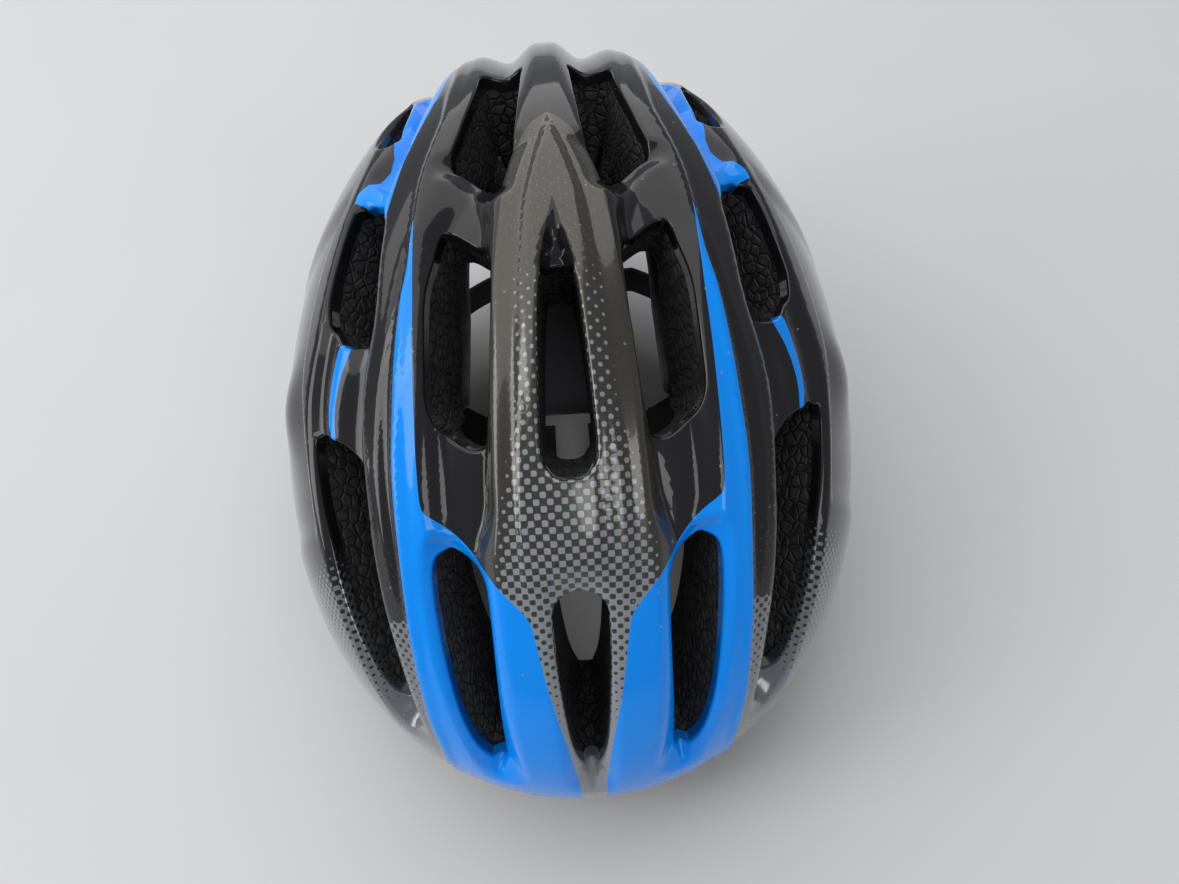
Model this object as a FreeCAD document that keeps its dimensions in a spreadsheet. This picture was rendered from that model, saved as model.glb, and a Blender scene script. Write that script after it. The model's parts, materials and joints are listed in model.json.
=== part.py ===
"""Road cycling helmet: fluted in-mould shell, foam liner, dial-adjusted head band and chin straps.

Frame: millimetres, +Z up, the front (brow) towards -Y and the wearer's left towards +X.
The origin is the middle of the footprint, at the level that the rim rests on.
"""
import FreeCAD, Part
import math
import os
from types import SimpleNamespace

import Sketcher
from FreeCAD import Placement, Rotation, Vector

DIMENSIONS = {
    # shell: a dome on an oval waist, drawn from a flat pattern unrolled from the crown
    "shell_length": 298, "shell_width": 207, "dome_rise": 122, "waist_height": 45,
    "front_flare": 0.08, "crown_lean": 0.10, "crown_fall": 0.15,
    "pattern_length": 298, "pattern_width": 207,
    "skin_thickness": 1.0, "bond_gap": 0.2, "flute_depth": 5, "flute_half_width": 12,
    "strip_rise": 1.5, "strip_chamfer": 3,
    # rim, seen from the side
    "brow_lift": 9, "ear_lift": 15, "nape_lift": 56, "rim_dip": 1.2,
    "temple_foot_y": -72, "ear_y": 6, "mastoid_foot_y": 64, "nape_y": 112,
    "band_height": 15, "parting_gap": 0.4,
    # head space
    "cavity_length": 212, "cavity_width": 168, "cavity_rise": 90, "cavity_y": -4,
    "channel_depth": 9, "channel_width": 15, "channel_spacing": 22, "channel_floor": 74,
    "channel_reach": 88,
    # comfort pads and the hook patches that hold them
    "patch_thickness": 1.0, "patch_radius": 5.5, "crown_patch_inset": 16, "crown_patch_spacing": 30,
    "side_patch_inset": 28, "side_patch_spacing": 34, "temple_patch_x": 36, "pad_gap": 0.3,
    "pad_thickness": 7,
    "brow_pad_floor": 12, "brow_pad_height": 24, "brow_pad_half_width": 60, "brow_pad_back": -72,
    "crown_pad_width": 26, "crown_pad_front": -58, "crown_pad_back": 34,
    "side_pad_inner": 28, "side_pad_outer": 46, "side_pad_front": -50, "side_pad_back": 34,
    "rear_pad_inner": 15, "rear_pad_outer": 50, "rear_pad_floor": 50, "rear_pad_height": 26,
    # head band: two sliding arms on round temple pins
    "band_gap": 5, "band_gap_back": 8.5, "arm_thickness": 1.6, "arm_height": 14, "arm_travel": 8,
    "pivot_y": -60, "pivot_height": 24, "pin_radius": 2, "pin_reach": 20, "pin_head_radius": 3.4,
    "pin_head_height": 1.2, "boss_radius": 6, "boss_reach": 3,
    "bushing_wall": 2, "bushing_flange": 1.2, "bushing_flange_radius": 5, "bushing_end_wall": 1.5,
    "running_gap": 0.08,
    # cradle behind the head: rack housing, dial and height strap
    "cradle_half_width": 24, "cradle_wall": 2, "cradle_rim": 4, "cover_thickness": 1.6,
    "slide_gap": 0.3, "rack_pitch_radius": 4, "rack_teeth": 6, "rack_overlap": 6,
    "pinion_teeth": 10, "tooth_addendum": 0.7, "tooth_dedendum": 0.9, "tooth_width": 1.0,
    "tooth_slope": 0.31, "dial_radius": 13, "dial_depth": 11, "dial_grips": 16,
    "grip_radius": 1.3, "dial_chamfer": 1.2, "axle_radius": 2.2, "screw_radius": 1.2,
    "screw_head_radius": 2.6, "screw_head_height": 1.2, "dial_screw_reach": 7,
    "cover_screw_radius": 0.9, "cover_screw_head": 1.7, "cover_screw_reach": 4, "cover_screw_x": 20,
    "tongue_half_width": 8, "tongue_height": 8, "post_half_width": 6, "post_thickness": 1.6,
    "post_start": 37.6, "post_top": 84, "detent_radius": 1.5, "detent_pitch": 8,
    "rivet_radius": 1.0, "rivet_spacing": 7, "rivet_head_radius": 1.6, "rivet_head_height": 0.6,
    "rail_floor": 54, "rail_height": 12, "rail_wall": 1.8, "rail_gap": 0.4,
    "cradle_pad_thickness": 4, "cradle_pad_inner": 5, "cradle_pad_outer": 17, "cradle_pad_height": 14,
    # chin straps, folded flat inside the rim
    "web_thickness": 1.2, "web_width": 15, "bar_radius": 0.8, "loop_gap": 0.1,
    "anchor_x": 79.5, "anchor_height": 8, "anchor_front_y": -32, "anchor_spread": 36,
    "anchor_wall": 1.8, "anchor_clear": 0.5, "anchor_lip": 2.4, "anchor_seat": 5.5, "strap_room": 10,
    "floor_gap": 0.4,
    "leg_run": 56, "divider_length": 20, "divider_wall": 1.1, "divider_gap": 0.3,
    "divider_side": 1.5, "fold_reach": 4, "fold_height": 4.6, "cheek_thickness": 1.8,
    "chin_run": 25, "buckle_length": 32, "buckle_width": 24, "buckle_height": 6,
    "buckle_wall": 1.4, "buckle_mouth": 4, "prong_length": 13, "prong_width": 4,
    "prong_thickness": 3, "keeper_length": 5, "keeper_wall": 0.9, "keeper_offset": 7,
    "chin_pad_length": 17, "chin_pad_wall": 1.6, "cheek_lap": 0.5,
}

# Vent outlines on the wearer's left half of the flat pattern: (across, along), front negative.
CENTRE_VENTS = {
    "front_slot": [(0, -125), (8, -134), (8.4, -150), (7.5, -172), (4.5, -192), (0, -199)],
    "crown_slot": [(0, -38), (5, -48), (6.5, -65), (7, -86), (0, -95.5)],
}
SIDE_VENTS = {
    "front": [(38, -111), (30, -116), (26, -130), (27.5, -160), (30, -188), (34, -193), (40, -187),
              (43.6, -160), (43.6, -135), (41.5, -115)],
    "crown": [(32, -20.5), (20.5, -30.5), (18.7, -45), (21.3, -70.8), (25.5, -85), (33, -82),
              (38.5, -72), (38, -52), (35.2, -28.5)],
    "rear_crown": [(8.2, 38), (8.5, 20), (11.8, -1.5), (15.5, -13), (22, -8), (29, 2), (26.5, 17.7),
                   (22, 38), (15, 43)],
    "side": [(64, 11), (55, 0), (51.5, -10), (54, -28), (58, -47), (66, -45), (73, -34), (74.5, -24),
             (70, -3)],
    "temple": [(83, -61), (70.5, -73.5), (63, -88), (63.8, -110), (66.3, -141), (70, -170), (76, -173),
               (81, -150), (84, -110), (84.5, -78)],
    "rear_side": [(53, 40), (45, 41), (43.5, 52), (43, 64), (44, 85), (48, 92), (52, 80), (54, 58)],
    "rear_inner": [(10, 100), (9.5, 130), (11, 160), (16, 168), (21, 158), (22, 128), (20, 102), (15, 95)],
    "rear_outer": [(38, 118), (36, 140), (37, 165), (43, 172), (50, 160), (52, 135), (49, 118), (43, 112)],
    "rear_flank": [(75, 60), (70, 80), (66, 105), (68, 118), (76, 112), (84, 90), (87, 68), (82, 56)],
}
VENT_NEAR = 60    # the vents are cones about the middle of the waist, cut between these distances
VENT_FAR = 190

# Flutes run lengthwise between the ribs: centre line as (along, across) points, then its two ends.
FLUTES = {
    "middle": ([(-230, 0), (-120, 0)], -232, -118),
    "inner": ([(-215, 36), (-160, 35), (-120, 33), (-85, 31), (-50, 29), (-20, 27), (0, 22), (20, 18),
               (45, 15), (110, 15), (210, 15)], -222, 215),
    "outer": ([(-190, 75), (-150, 73), (-110, 74), (-70, 72), (-40, 64), (-10, 63), (10, 58), (30, 52),
               (60, 48), (120, 45), (210, 43)], -195, 215),
}
FLUTE_FADE = 18   # length over which a flute runs out at either end

# Raised strip along the crown: its half width as (along, across) points, front to rear tip.
STRIP = [(-128, 17), (-90, 15.5), (-50, 12.2), (-20, 9.2), (0, 4.5), (15, 0)]
STRIP_FADE = 28   # length over which its front runs out


# ---------------------------------------------------------------- sizes and document

class Measure:
    """A number that remembers the spreadsheet formula it came from."""

    def __init__(self, value, text):
        self.value = value
        self.text = text

    def __float__(self):
        return float(self.value)

    def __add__(self, other):
        return Measure(float(self) + float(other), f"({self.text} + {words(other)})")

    def __radd__(self, other):
        return Measure(float(other) + float(self), f"({words(other)} + {self.text})")

    def __sub__(self, other):
        return Measure(float(self) - float(other), f"({self.text} - {words(other)})")

    def __rsub__(self, other):
        return Measure(float(other) - float(self), f"({words(other)} - {self.text})")

    def __mul__(self, other):
        return Measure(float(self) * float(other), f"({self.text} * {words(other)})")

    __rmul__ = __mul__

    def __truediv__(self, other):
        return Measure(float(self) / float(other), f"({self.text} / {words(other)})")

    def __neg__(self):
        return Measure(-float(self), f"(0 - {self.text})")


def words(value):
    """The text of a measure, or of a plain number."""
    return value.text if isinstance(value, Measure) else f"({float(value)})"


def root(value):
    """Square root of a measure."""
    return Measure(math.sqrt(float(value)), f"sqrt({words(value)})")


def oval(half_along, half_across, along):
    """Half width of an oval at a distance along it from its middle."""
    share = along / half_along
    return half_across * root(1 - share * share)


def make_sheet(document):
    """Spreadsheet of the driving dimensions, one alias each."""
    sheet = document.addObject("Spreadsheet::Sheet", "Dims")
    for row, (name, value) in enumerate(DIMENSIONS.items(), start=1):
        sheet.set(f"A{row}", name)
        sheet.set(f"B{row}", str(value))
        sheet.setAlias(f"B{row}", name)
    document.recompute()
    return sheet


doc = FreeCAD.newDocument("helmet")
dims = make_sheet(doc)
D = SimpleNamespace(**{name: Measure(float(dims.get(name)), f"Dims.{name}") for name in DIMENSIONS})
NODES = []

half_length = float(D.shell_length) / 2
half_width = float(D.shell_width) / 2
centre = Vector(0, 0, float(D.waist_height))

OVERCUT = 1                                 # how far a cutting tool runs past a face

SPIN_X = Rotation(Vector(0, 1, 0), 90)      # turns +Z to +X
SPIN_Y = Rotation(Vector(1, 0, 0), -90)     # turns +Z to +Y
SPIN_Z = Rotation()


def node(thing, label):
    """Keep an object as a finished sub-part under its own name."""
    thing.Label = label
    NODES.append(thing)
    return thing


def bind(thing, path, value):
    """Bind a property to the sheet, or set a plain number."""
    thing.setExpression(path, words(value))


def bind_base(thing, x, y, z):
    """Bind the place of an object's own origin."""
    for axis, value in zip("xyz", (x, y, z)):
        bind(thing, f"Placement.Base.{axis}", value)


# ---------------------------------------------------------------- primitives and booleans

def feature(name, shape):
    """A feature whose shape is worked out from the sheet."""
    thing = doc.addObject("Part::Feature", name)
    thing.Shape = shape
    return thing


def box(name, x, y, z):
    """Block between two corners, each side as (low, high)."""
    thing = doc.addObject("Part::Box", name)
    for side, (low, high) in zip(("Length", "Width", "Height"), (x, y, z)):
        bind(thing, side, high - low)
    bind_base(thing, x[0], y[0], z[0])
    return thing


def rod(name, spin, radius, length, x, y, z):
    """Cylinder from a start point along +X, +Y or +Z."""
    thing = doc.addObject("Part::Cylinder", name)
    thing.Placement = Placement(Vector(), spin)
    bind(thing, "Radius", radius)
    bind(thing, "Height", length)
    bind_base(thing, x, y, z)
    return thing


def oval_post(name, across, along, y, z):
    """Upright oval column, z as (low, high)."""
    outline = doc.addObject("Part::Ellipse", name + "_outline")
    outline.Placement = Placement(Vector(), Rotation(Vector(0, 0, 1), 90))
    bind(outline, "MajorRadius", along)
    bind(outline, "MinorRadius", across)
    bind_base(outline, 0, y, z[0])
    return extrude(name, outline, Vector(0, 0, 1), z[1] - z[0])


def extrude(name, outline, direction, length):
    """Solid from a closed outline."""
    thing = doc.addObject("Part::Extrusion", name)
    thing.Base = outline
    thing.DirMode = "Custom"
    thing.Dir = direction
    thing.Solid = True
    bind(thing, "LengthFwd", length)
    return thing


def cut(name, base, tool):
    thing = doc.addObject("Part::Cut", name)
    thing.Base, thing.Tool = base, tool
    return thing


def common(name, base, tool):
    thing = doc.addObject("Part::Common", name)
    thing.Base, thing.Tool = base, tool
    return thing


def fuse(name, things):
    thing = doc.addObject("Part::MultiFuse", name)
    thing.Shapes = things
    return thing


def group(name, things):
    """Several separate solids kept as one."""
    thing = doc.addObject("Part::Compound", name)
    thing.Links = things
    return thing


def mirror(name, source, normal=Vector(1, 0, 0), height=None):
    """Mirror image across the helmet's middle, or across a level."""
    thing = doc.addObject("Part::Mirroring", name)
    thing.Source = source
    thing.Normal = normal
    if height is not None:
        bind(thing, "Base.z", height)
    return thing


# ---------------------------------------------------------------- dome surfaces

def direction(u, v):
    """Unit direction from the middle of the waist for a point of the flat pattern."""
    a = 2 * u / float(D.pattern_width)
    b = 2 * v / float(D.pattern_length)
    angle = math.hypot(a, b)
    share = math.sin(angle) / angle if angle > 1e-9 else 1.0
    return share * a, share * b, math.cos(angle)


def dome_point(u, v):
    """Point of the smooth outer dome, at the tops of the ribs."""
    x, y, z = direction(u, v)
    lean = 1 + float(D.crown_lean) * y - float(D.crown_fall) * y * y
    return centre + Vector(half_width * x * (1 - float(D.front_flare) * y), half_length * y,
                           float(D.dome_rise) * z * lean)


def cavity_point(u, v):
    """Point of the head space: half an ovoid over an upright oval wall."""
    x, y, z = direction(u, v)
    across, along = float(D.cavity_width) / 2, float(D.cavity_length) / 2
    if z >= 0:
        place = Vector(across * x, along * y, float(D.cavity_rise) * z)
    else:
        flat = math.hypot(x, y)
        place = Vector(across * x / flat, along * y / flat, float(D.cavity_rise) * math.asin(z))
    return centre + Vector(0, float(D.cavity_y), 0) + place


def outward(point, u, v, step=0.5):
    """Unit normal of a surface of the pattern."""
    side = point(u + step, v) - point(u - step, v)
    ahead = point(u, v + step) - point(u, v - step)
    return side.cross(ahead).normalize()


def smooth(share):
    share = min(1.0, max(0.0, share))
    return share * share * (3 - 2 * share)


def across_at(line, v):
    """Where a flute's centre line lies at a station along the pattern."""
    if v <= line[0][0]:
        return line[0][1]
    for (v0, u0), (v1, u1) in zip(line, line[1:]):
        if v <= v1:
            return u0 + (u1 - u0) * (v - v0) / (v1 - v0)
    return line[-1][1]


def flute(u, v):
    """Share of the flutes' depth, from 0 on the rib tops."""
    depth = 0.0
    for line, front, back in FLUTES.values():
        offset = (abs(u) - across_at(line, v)) / float(D.flute_half_width)
        if abs(offset) < 1:
            ends = smooth((v - front) / FLUTE_FADE) * smooth((back - v) / FLUTE_FADE)
            depth = max(depth, ends * math.cos(math.pi * offset / 2) ** 2)
    return depth


def strip(u, v):
    """Share of the raised strip's height."""
    inside = (across_at(STRIP, v) - abs(u)) / float(D.strip_chamfer)
    return smooth(inside) * smooth((v - STRIP[0][0]) / STRIP_FADE)


def relief(u, v):
    """Depth of the skin below the smooth dome."""
    return float(D.flute_depth) * flute(u, v) - float(D.strip_rise) * strip(u, v)


PATTERN_EDGE = 2.15     # radians from the crown to the middle of each edge of the surface
SURFACE_TILES = 4


def closed_dome(point, inset, across=41, along=41, depth=None):
    """Solid under a pattern surface set in by a distance, standing on the level of the rim."""
    rows = []
    for i in range(across):
        s = 2 * i / (across - 1) - 1
        u = (0.6 * s + 0.4 * s ** 3) * PATTERN_EDGE * float(D.pattern_width) / 2
        row = []
        for j in range(along):
            v = (2 * j / (along - 1) - 1) * PATTERN_EDGE * float(D.pattern_length) / 2
            sink = inset + (depth(u, v) if depth else 0.0)
            row.append(point(u, v) - outward(point, u, v) * sink)
        rows.append(row)
    surface = Part.BSplineSurface()
    surface.interpolate(rows)
    u0, u1, v0, v1 = surface.bounds()
    tiles = []
    for i in range(SURFACE_TILES):
        for j in range(SURFACE_TILES):
            tile = surface.copy()
            tile.segment(u0 + (u1 - u0) * i / SURFACE_TILES, u0 + (u1 - u0) * (i + 1) / SURFACE_TILES,
                         v0 + (v1 - v0) * j / SURFACE_TILES, v0 + (v1 - v0) * (j + 1) / SURFACE_TILES)
            tiles.append(tile.toShape())
    room = 3 * half_length
    block = Part.makeBox(room, room, room, Vector(-room / 2, -room / 2, 0))
    pieces = block.generalFuse(tiles)[0]
    inside = centre * 0.5
    return [solid for solid in pieces.Solids if solid.isInside(inside, 1e-6, True)][0]


def vent_cone(outline, side):
    """Tapered plug through the wall for one vent outline; side is 1, or -1 for the mirror image."""
    rays = [dome_point(side * u, v) - centre for u, v in outline]
    middle = Vector()
    for ray in rays:
        middle = middle + ray
    middle.normalize()
    rings = []
    for distance in (VENT_NEAR, VENT_FAR):
        curve = Part.BSplineCurve()
        curve.interpolate([centre + ray * (distance / ray.dot(middle)) for ray in rays],
                          PeriodicFlag=True)
        rings.append(Part.Wire([curve.toShape()]))
    return Part.makeLoft(rings, True, True)


def all_vents():
    """Every vent plug in one compound."""
    plugs = []
    for outline in CENTRE_VENTS.values():
        back = [(-u, v) for u, v in reversed(outline[1:-1])]
        plugs.append(vent_cone(outline + back, 1))
    for outline in SIDE_VENTS.values():
        plugs.append(vent_cone(outline, 1))
        plugs.append(vent_cone(outline, -1))
    return Part.makeCompound(plugs)


def below_rim(lift):
    """Everything below the rim line, raised by a distance."""
    temple, ear, foot, nape = (float(D.temple_foot_y), float(D.ear_y), float(D.mastoid_foot_y),
                               float(D.nape_y))
    front, back = -half_length - 15, half_length + 15
    low, arch, high = -float(D.rim_dip), float(D.ear_lift), float(D.nape_lift)
    brow = float(D.brow_lift)
    line = [(front, brow), ((front + temple) / 2, brow * 0.7), (temple, low),
            ((temple + ear) / 2, arch * 0.55), (ear, arch), ((ear + foot) / 2, arch * 0.55),
            (foot, low), (foot + (nape - foot) * 0.35, high * 0.22),
            (foot + (nape - foot) * 0.7, high * 0.76), (nape, high), (back, high)]
    points = [Vector(-half_width * 1.5, y, z + lift) for y, z in line]
    curve = Part.BSplineCurve()
    curve.interpolate(points)
    floor = -half_length
    ends = [Vector(points[-1].x, back, floor), Vector(points[0].x, front, floor)]
    edges = [curve.toShape(), Part.makeLine(points[-1], ends[0]), Part.makeLine(ends[0], ends[1]),
             Part.makeLine(ends[1], points[0])]
    return Part.Face(Part.Wire(edges)).extrude(Vector(half_width * 3, 0, 0))


# ---------------------------------------------------------------- sketched bodies

def new_body(name, place=None):
    thing = doc.addObject("PartDesign::Body", name)
    if place is not None:
        thing.Placement = place
    return thing


def sketch(owner, plane, lift=0):
    """Sketch on one of the body's own planes, moved along its normal."""
    thing = owner.newObject("Sketcher::SketchObject", f"{owner.Name}_sketch")
    origin = [item for item in owner.Origin.OriginFeatures if item.Role == plane][0]
    thing.AttachmentSupport = (origin, "")
    thing.MapMode = "FlatFace"
    bind(thing, "AttachmentOffset.Base.z", lift)
    return thing


def place_point(drawing, item, corner, x, y):
    """Tie one corner of a drawn line or circle to its measures."""
    for kind, value in (("DistanceX", x), ("DistanceY", y)):
        index = drawing.addConstraint(Sketcher.Constraint(kind, -1, 1, item, corner, float(value)))
        drawing.setExpression(f"Constraints[{index}]", words(value))


def draw_polygon(drawing, corners):
    """Closed outline through corners given as (x, y) measures."""
    points = [Vector(float(x), float(y), 0) for x, y in corners]
    first = drawing.GeometryCount
    for here, there in zip(points, points[1:] + points[:1]):
        drawing.addGeometry(Part.LineSegment(here, there), False)
    for i, (x, y) in enumerate(corners):
        follower = first + (i - 1) % len(corners)
        drawing.addConstraint(Sketcher.Constraint("Coincident", follower, 2, first + i, 1))
        place_point(drawing, first + i, 1, x, y)
    return drawing


def draw_box(drawing, x, y):
    return draw_polygon(drawing, [(x[0], y[0]), (x[1], y[0]), (x[1], y[1]), (x[0], y[1])])


def draw_circle(drawing, radius, x=0, y=0):
    item = drawing.addGeometry(Part.Circle(Vector(float(x), float(y), 0), Vector(0, 0, 1), float(radius)),
                               False)
    index = drawing.addConstraint(Sketcher.Constraint("Radius", item, float(radius)))
    drawing.setExpression(f"Constraints[{index}]", words(radius))
    place_point(drawing, item, 3, x, y)
    return drawing


def pad(owner, drawing, length, midplane=False, backwards=False):
    thing = owner.newObject("PartDesign::Pad", f"{owner.Name}_pad")
    thing.Profile = drawing
    bind(thing, "Length", length)
    thing.Midplane = midplane
    thing.Reversed = backwards
    return thing


def pocket(owner, drawing, length, midplane=False, backwards=False):
    thing = owner.newObject("PartDesign::Pocket", f"{owner.Name}_pocket")
    thing.Profile = drawing
    bind(thing, "Length", length)
    thing.Midplane = midplane
    thing.Reversed = backwards
    return thing


# ---------------------------------------------------------------- shell and liner

def make_shell():
    """Upper and lower skins, and the foam that they are moulded to."""
    vents = feature("vents", all_vents())
    rim = feature("rim_cut", below_rim(0))
    band = feature("band_region", below_rim(float(D.band_height)))
    above = feature("crown_cut", below_rim(float(D.band_height) + float(D.parting_gap)))
    fine = {"across": 61, "along": 41, "depth": relief}
    outside = feature("skin_outside", closed_dome(dome_point, 0.0, **fine))
    inside = feature("skin_inside", closed_dome(dome_point, float(D.skin_thickness), **fine))
    skin = cut("skin", outside, inside)
    vented = cut("vented_skin", skin, vents)
    node(cut("outer_shell", vented, above), "outer_shell")
    node(cut("lower_shell", common("skin_band", vented, band), rim), "lower_shell")
    bed = float(D.skin_thickness) + float(D.bond_gap)
    block = feature("foam_block", closed_dome(dome_point, bed, **fine))
    head = feature("head_space", closed_dome(cavity_point, 0.0))
    hollow = cut("foam_hollow", block, fuse("foam_voids", [head, air_channels()]))
    trimmed = cut("foam_trimmed", cut("foam_vented", hollow, vents), rim)
    node(cut("foam_liner", trimmed, fuse("foam_seats", liner_seats())), "foam_liner")


def air_channels():
    """Lengthwise air channels in the roof of the head space."""
    deep = feature("channel_dome", closed_dome(cavity_point, -float(D.channel_depth)))
    half = D.channel_width / 2
    slabs = []
    for name, middle in (("left", D.channel_spacing), ("right", -D.channel_spacing)):
        slabs.append(box(f"{name}_channel", (middle - half, middle + half),
                         (D.cavity_y - D.channel_reach, D.cavity_y + D.channel_reach),
                         (D.channel_floor, D.waist_height + D.dome_rise)))
    return common("air_channels", deep, fuse("channel_slabs", slabs))


# ---------------------------------------------------------------- places shared by the fittings

cavity_half = D.cavity_width / 2
cavity_reach = D.cavity_length / 2
arm_across = cavity_half - D.band_gap
arm_along = cavity_reach - D.band_gap_back
pin_x = oval(arm_along, arm_across, D.pivot_y - D.cavity_y)
flange_x = (oval(arm_along, arm_across, D.pivot_y - D.cavity_y + D.bushing_flange_radius)
            + D.arm_thickness / 2 + D.slide_gap)
pin_end = pin_x + D.pin_reach
bushing_end = pin_end + D.slide_gap + D.bushing_end_wall
bushing_radius = D.pin_radius + D.running_gap + D.bushing_wall

rack_x = D.cradle_half_width + D.arm_travel + 1
rack_y = D.cavity_y + oval(arm_across, arm_along, rack_x)
slot_half = D.arm_thickness / 2 + D.slide_gap
cover_y = rack_y - slot_half - D.cover_thickness
wall_y = rack_y + slot_half
base_y = wall_y + D.cradle_wall
cradle_half_height = D.arm_height / 2 + D.slide_gap + D.cradle_rim
cradle_floor = D.pivot_height - cradle_half_height
cradle_roof = D.pivot_height + cradle_half_height
dial_y = base_y + D.slide_gap
tongue_top = cradle_roof + D.tongue_height
post_rise = (D.post_start + tongue_top) / 2 - D.pivot_height
post_reach = base_y - D.pivot_y
post_inner = root(post_reach * post_reach + post_rise * post_rise)
post_outer = post_inner + D.post_thickness


def arc_y(radius, height):
    """Where an arc about the pivot stands at a height."""
    rise = height - D.pivot_height
    return D.pivot_y + root(radius * radius - rise * rise)


loop_inner = D.bar_radius + D.loop_gap
loop_outer = loop_inner + D.web_thickness
divider_half_height = loop_outer + D.divider_gap + D.divider_wall
divider_start = D.leg_run - D.divider_length / 2
divider_end = D.leg_run + D.divider_length / 2
fold_x = divider_end + D.fold_reach
fold_clear = fold_x + loop_outer
strap_drop = math.asin((float(D.anchor_height) - float(divider_half_height) - float(D.floor_gap))
                       / float(fold_clear))
strap_frame = Placement(Vector(float(D.anchor_x), float(D.anchor_front_y) + float(D.anchor_spread),
                               float(D.anchor_height)),
                        Rotation(Vector(0, 1, 0), -math.degrees(strap_drop)))
leg_slope = D.anchor_spread / D.leg_run
leg_half_width = D.web_width / 2 * root(1 + leg_slope * leg_slope)
anchor_ys = {"front": D.anchor_front_y, "rear": D.anchor_front_y + 2 * D.anchor_spread}
anchor_inner = leg_half_width + D.anchor_clear + leg_slope * (D.anchor_lip + D.bar_radius)
anchor_half_width = anchor_inner + D.anchor_wall
anchor_span_x = (D.anchor_x - D.anchor_lip, D.anchor_x + D.anchor_seat)
anchor_span_z = (D.anchor_height - D.bar_radius - D.anchor_wall / 2,
                 D.anchor_height + loop_outer + D.anchor_clear + D.anchor_wall)


def liner_seats():
    """Room in the foam for the temple bushings and the strap anchors, on both sides."""
    gap = D.bond_gap
    seats = [
        rod("bushing_room", SPIN_X, bushing_radius + gap, bushing_end + gap - flange_x, flange_x,
            D.pivot_y, D.pivot_height),
        rod("flange_room", SPIN_X, D.boss_radius + D.slide_gap, D.bushing_flange + gap + D.band_gap,
            flange_x - D.band_gap, D.pivot_y, D.pivot_height)]
    for name, y in anchor_ys.items():
        seats.append(box(f"{name}_anchor_room", (anchor_span_x[0] - gap, anchor_span_x[1] + gap),
                         (y - anchor_half_width - gap, y + anchor_half_width + gap),
                         (-D.rim_dip, anchor_span_z[1] + gap)))
        seats.append(box(f"{name}_strap_room", (anchor_span_x[0] - D.strap_room, anchor_span_x[0]),
                         (y - anchor_half_width, y + anchor_half_width),
                         (-D.rim_dip, D.anchor_height + loop_outer + D.anchor_clear)))
    return seats + [mirror(f"{seat.Name}_right", seat) for seat in seats]


# ---------------------------------------------------------------- comfort pads

def make_pads():
    """Soft pads and the hook patches between them and the foam."""
    lining = float(D.bond_gap) + float(D.patch_thickness)
    near = lining + float(D.pad_gap)
    patch_layer = cut("patch_layer", feature("patch_out", closed_dome(cavity_point, float(D.bond_gap))),
                      feature("patch_in", closed_dome(cavity_point, lining)))
    pad_layer = cut("pad_layer", feature("pad_out", closed_dome(cavity_point, near)),
                    feature("pad_in", closed_dome(cavity_point, near + float(D.pad_thickness))))
    roof = (D.waist_height, D.waist_height + D.dome_rise)
    front = D.cavity_y - cavity_reach
    back = D.cavity_y + cavity_reach
    brow_z = (D.brow_pad_floor, D.brow_pad_floor + D.brow_pad_height)
    rear_z = (D.rear_pad_floor, D.rear_pad_floor + D.rear_pad_height)
    blocks = {
        "brow_pad": ((-D.brow_pad_half_width, D.brow_pad_half_width), (front, D.brow_pad_back), brow_z),
        "crown_pad": ((-D.crown_pad_width / 2, D.crown_pad_width / 2),
                      (D.crown_pad_front, D.crown_pad_back), roof),
        "left_side_pad": ((D.side_pad_inner, D.side_pad_outer), (D.side_pad_front, D.side_pad_back), roof),
        "left_rear_pad": ((D.rear_pad_inner, D.rear_pad_outer), (D.cavity_y, back), rear_z),
    }
    for label, (x, y, z) in blocks.items():
        made = node(common(label, box(label + "_block", x, y, z), pad_layer), label)
        if label.startswith("left"):
            twin = label.replace("left", "right")
            node(mirror(twin, made), twin)
    side_x = (D.side_pad_inner + D.side_pad_outer) / 2
    rear_x = (D.rear_pad_inner + D.rear_pad_outer) / 2
    brow_mid = D.brow_pad_floor + D.brow_pad_height / 2
    rear_mid = D.rear_pad_floor + D.rear_pad_height / 2
    crown_y = D.crown_pad_back - D.crown_patch_inset
    side_y = D.side_pad_back - D.side_patch_inset
    spots = [rod(f"crown_patch_{i}", SPIN_Z, D.patch_radius, D.dome_rise, 0, y, D.waist_height)
             for i, y in enumerate((crown_y, crown_y - D.crown_patch_spacing))]
    spots.append(rod("brow_patch", SPIN_Y, D.patch_radius, cavity_reach, 0, front, brow_mid))
    pairs = [rod(f"side_patch_{i}", SPIN_Z, D.patch_radius, D.dome_rise, side_x, y, D.waist_height)
             for i, y in enumerate((side_y, side_y - D.side_patch_spacing))]
    pairs.append(rod("rear_patch", SPIN_Y, D.patch_radius, cavity_reach, rear_x, D.cavity_y, rear_mid))
    pairs.append(rod("temple_patch", SPIN_Y, D.patch_radius, cavity_reach, D.temple_patch_x, front,
                     brow_mid))
    spots += pairs + [mirror(f"{item.Name}_right", item) for item in pairs]
    node(common("hook_patches", fuse("patch_spots", spots), patch_layer), "hook_patches")


# ---------------------------------------------------------------- head band

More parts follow.
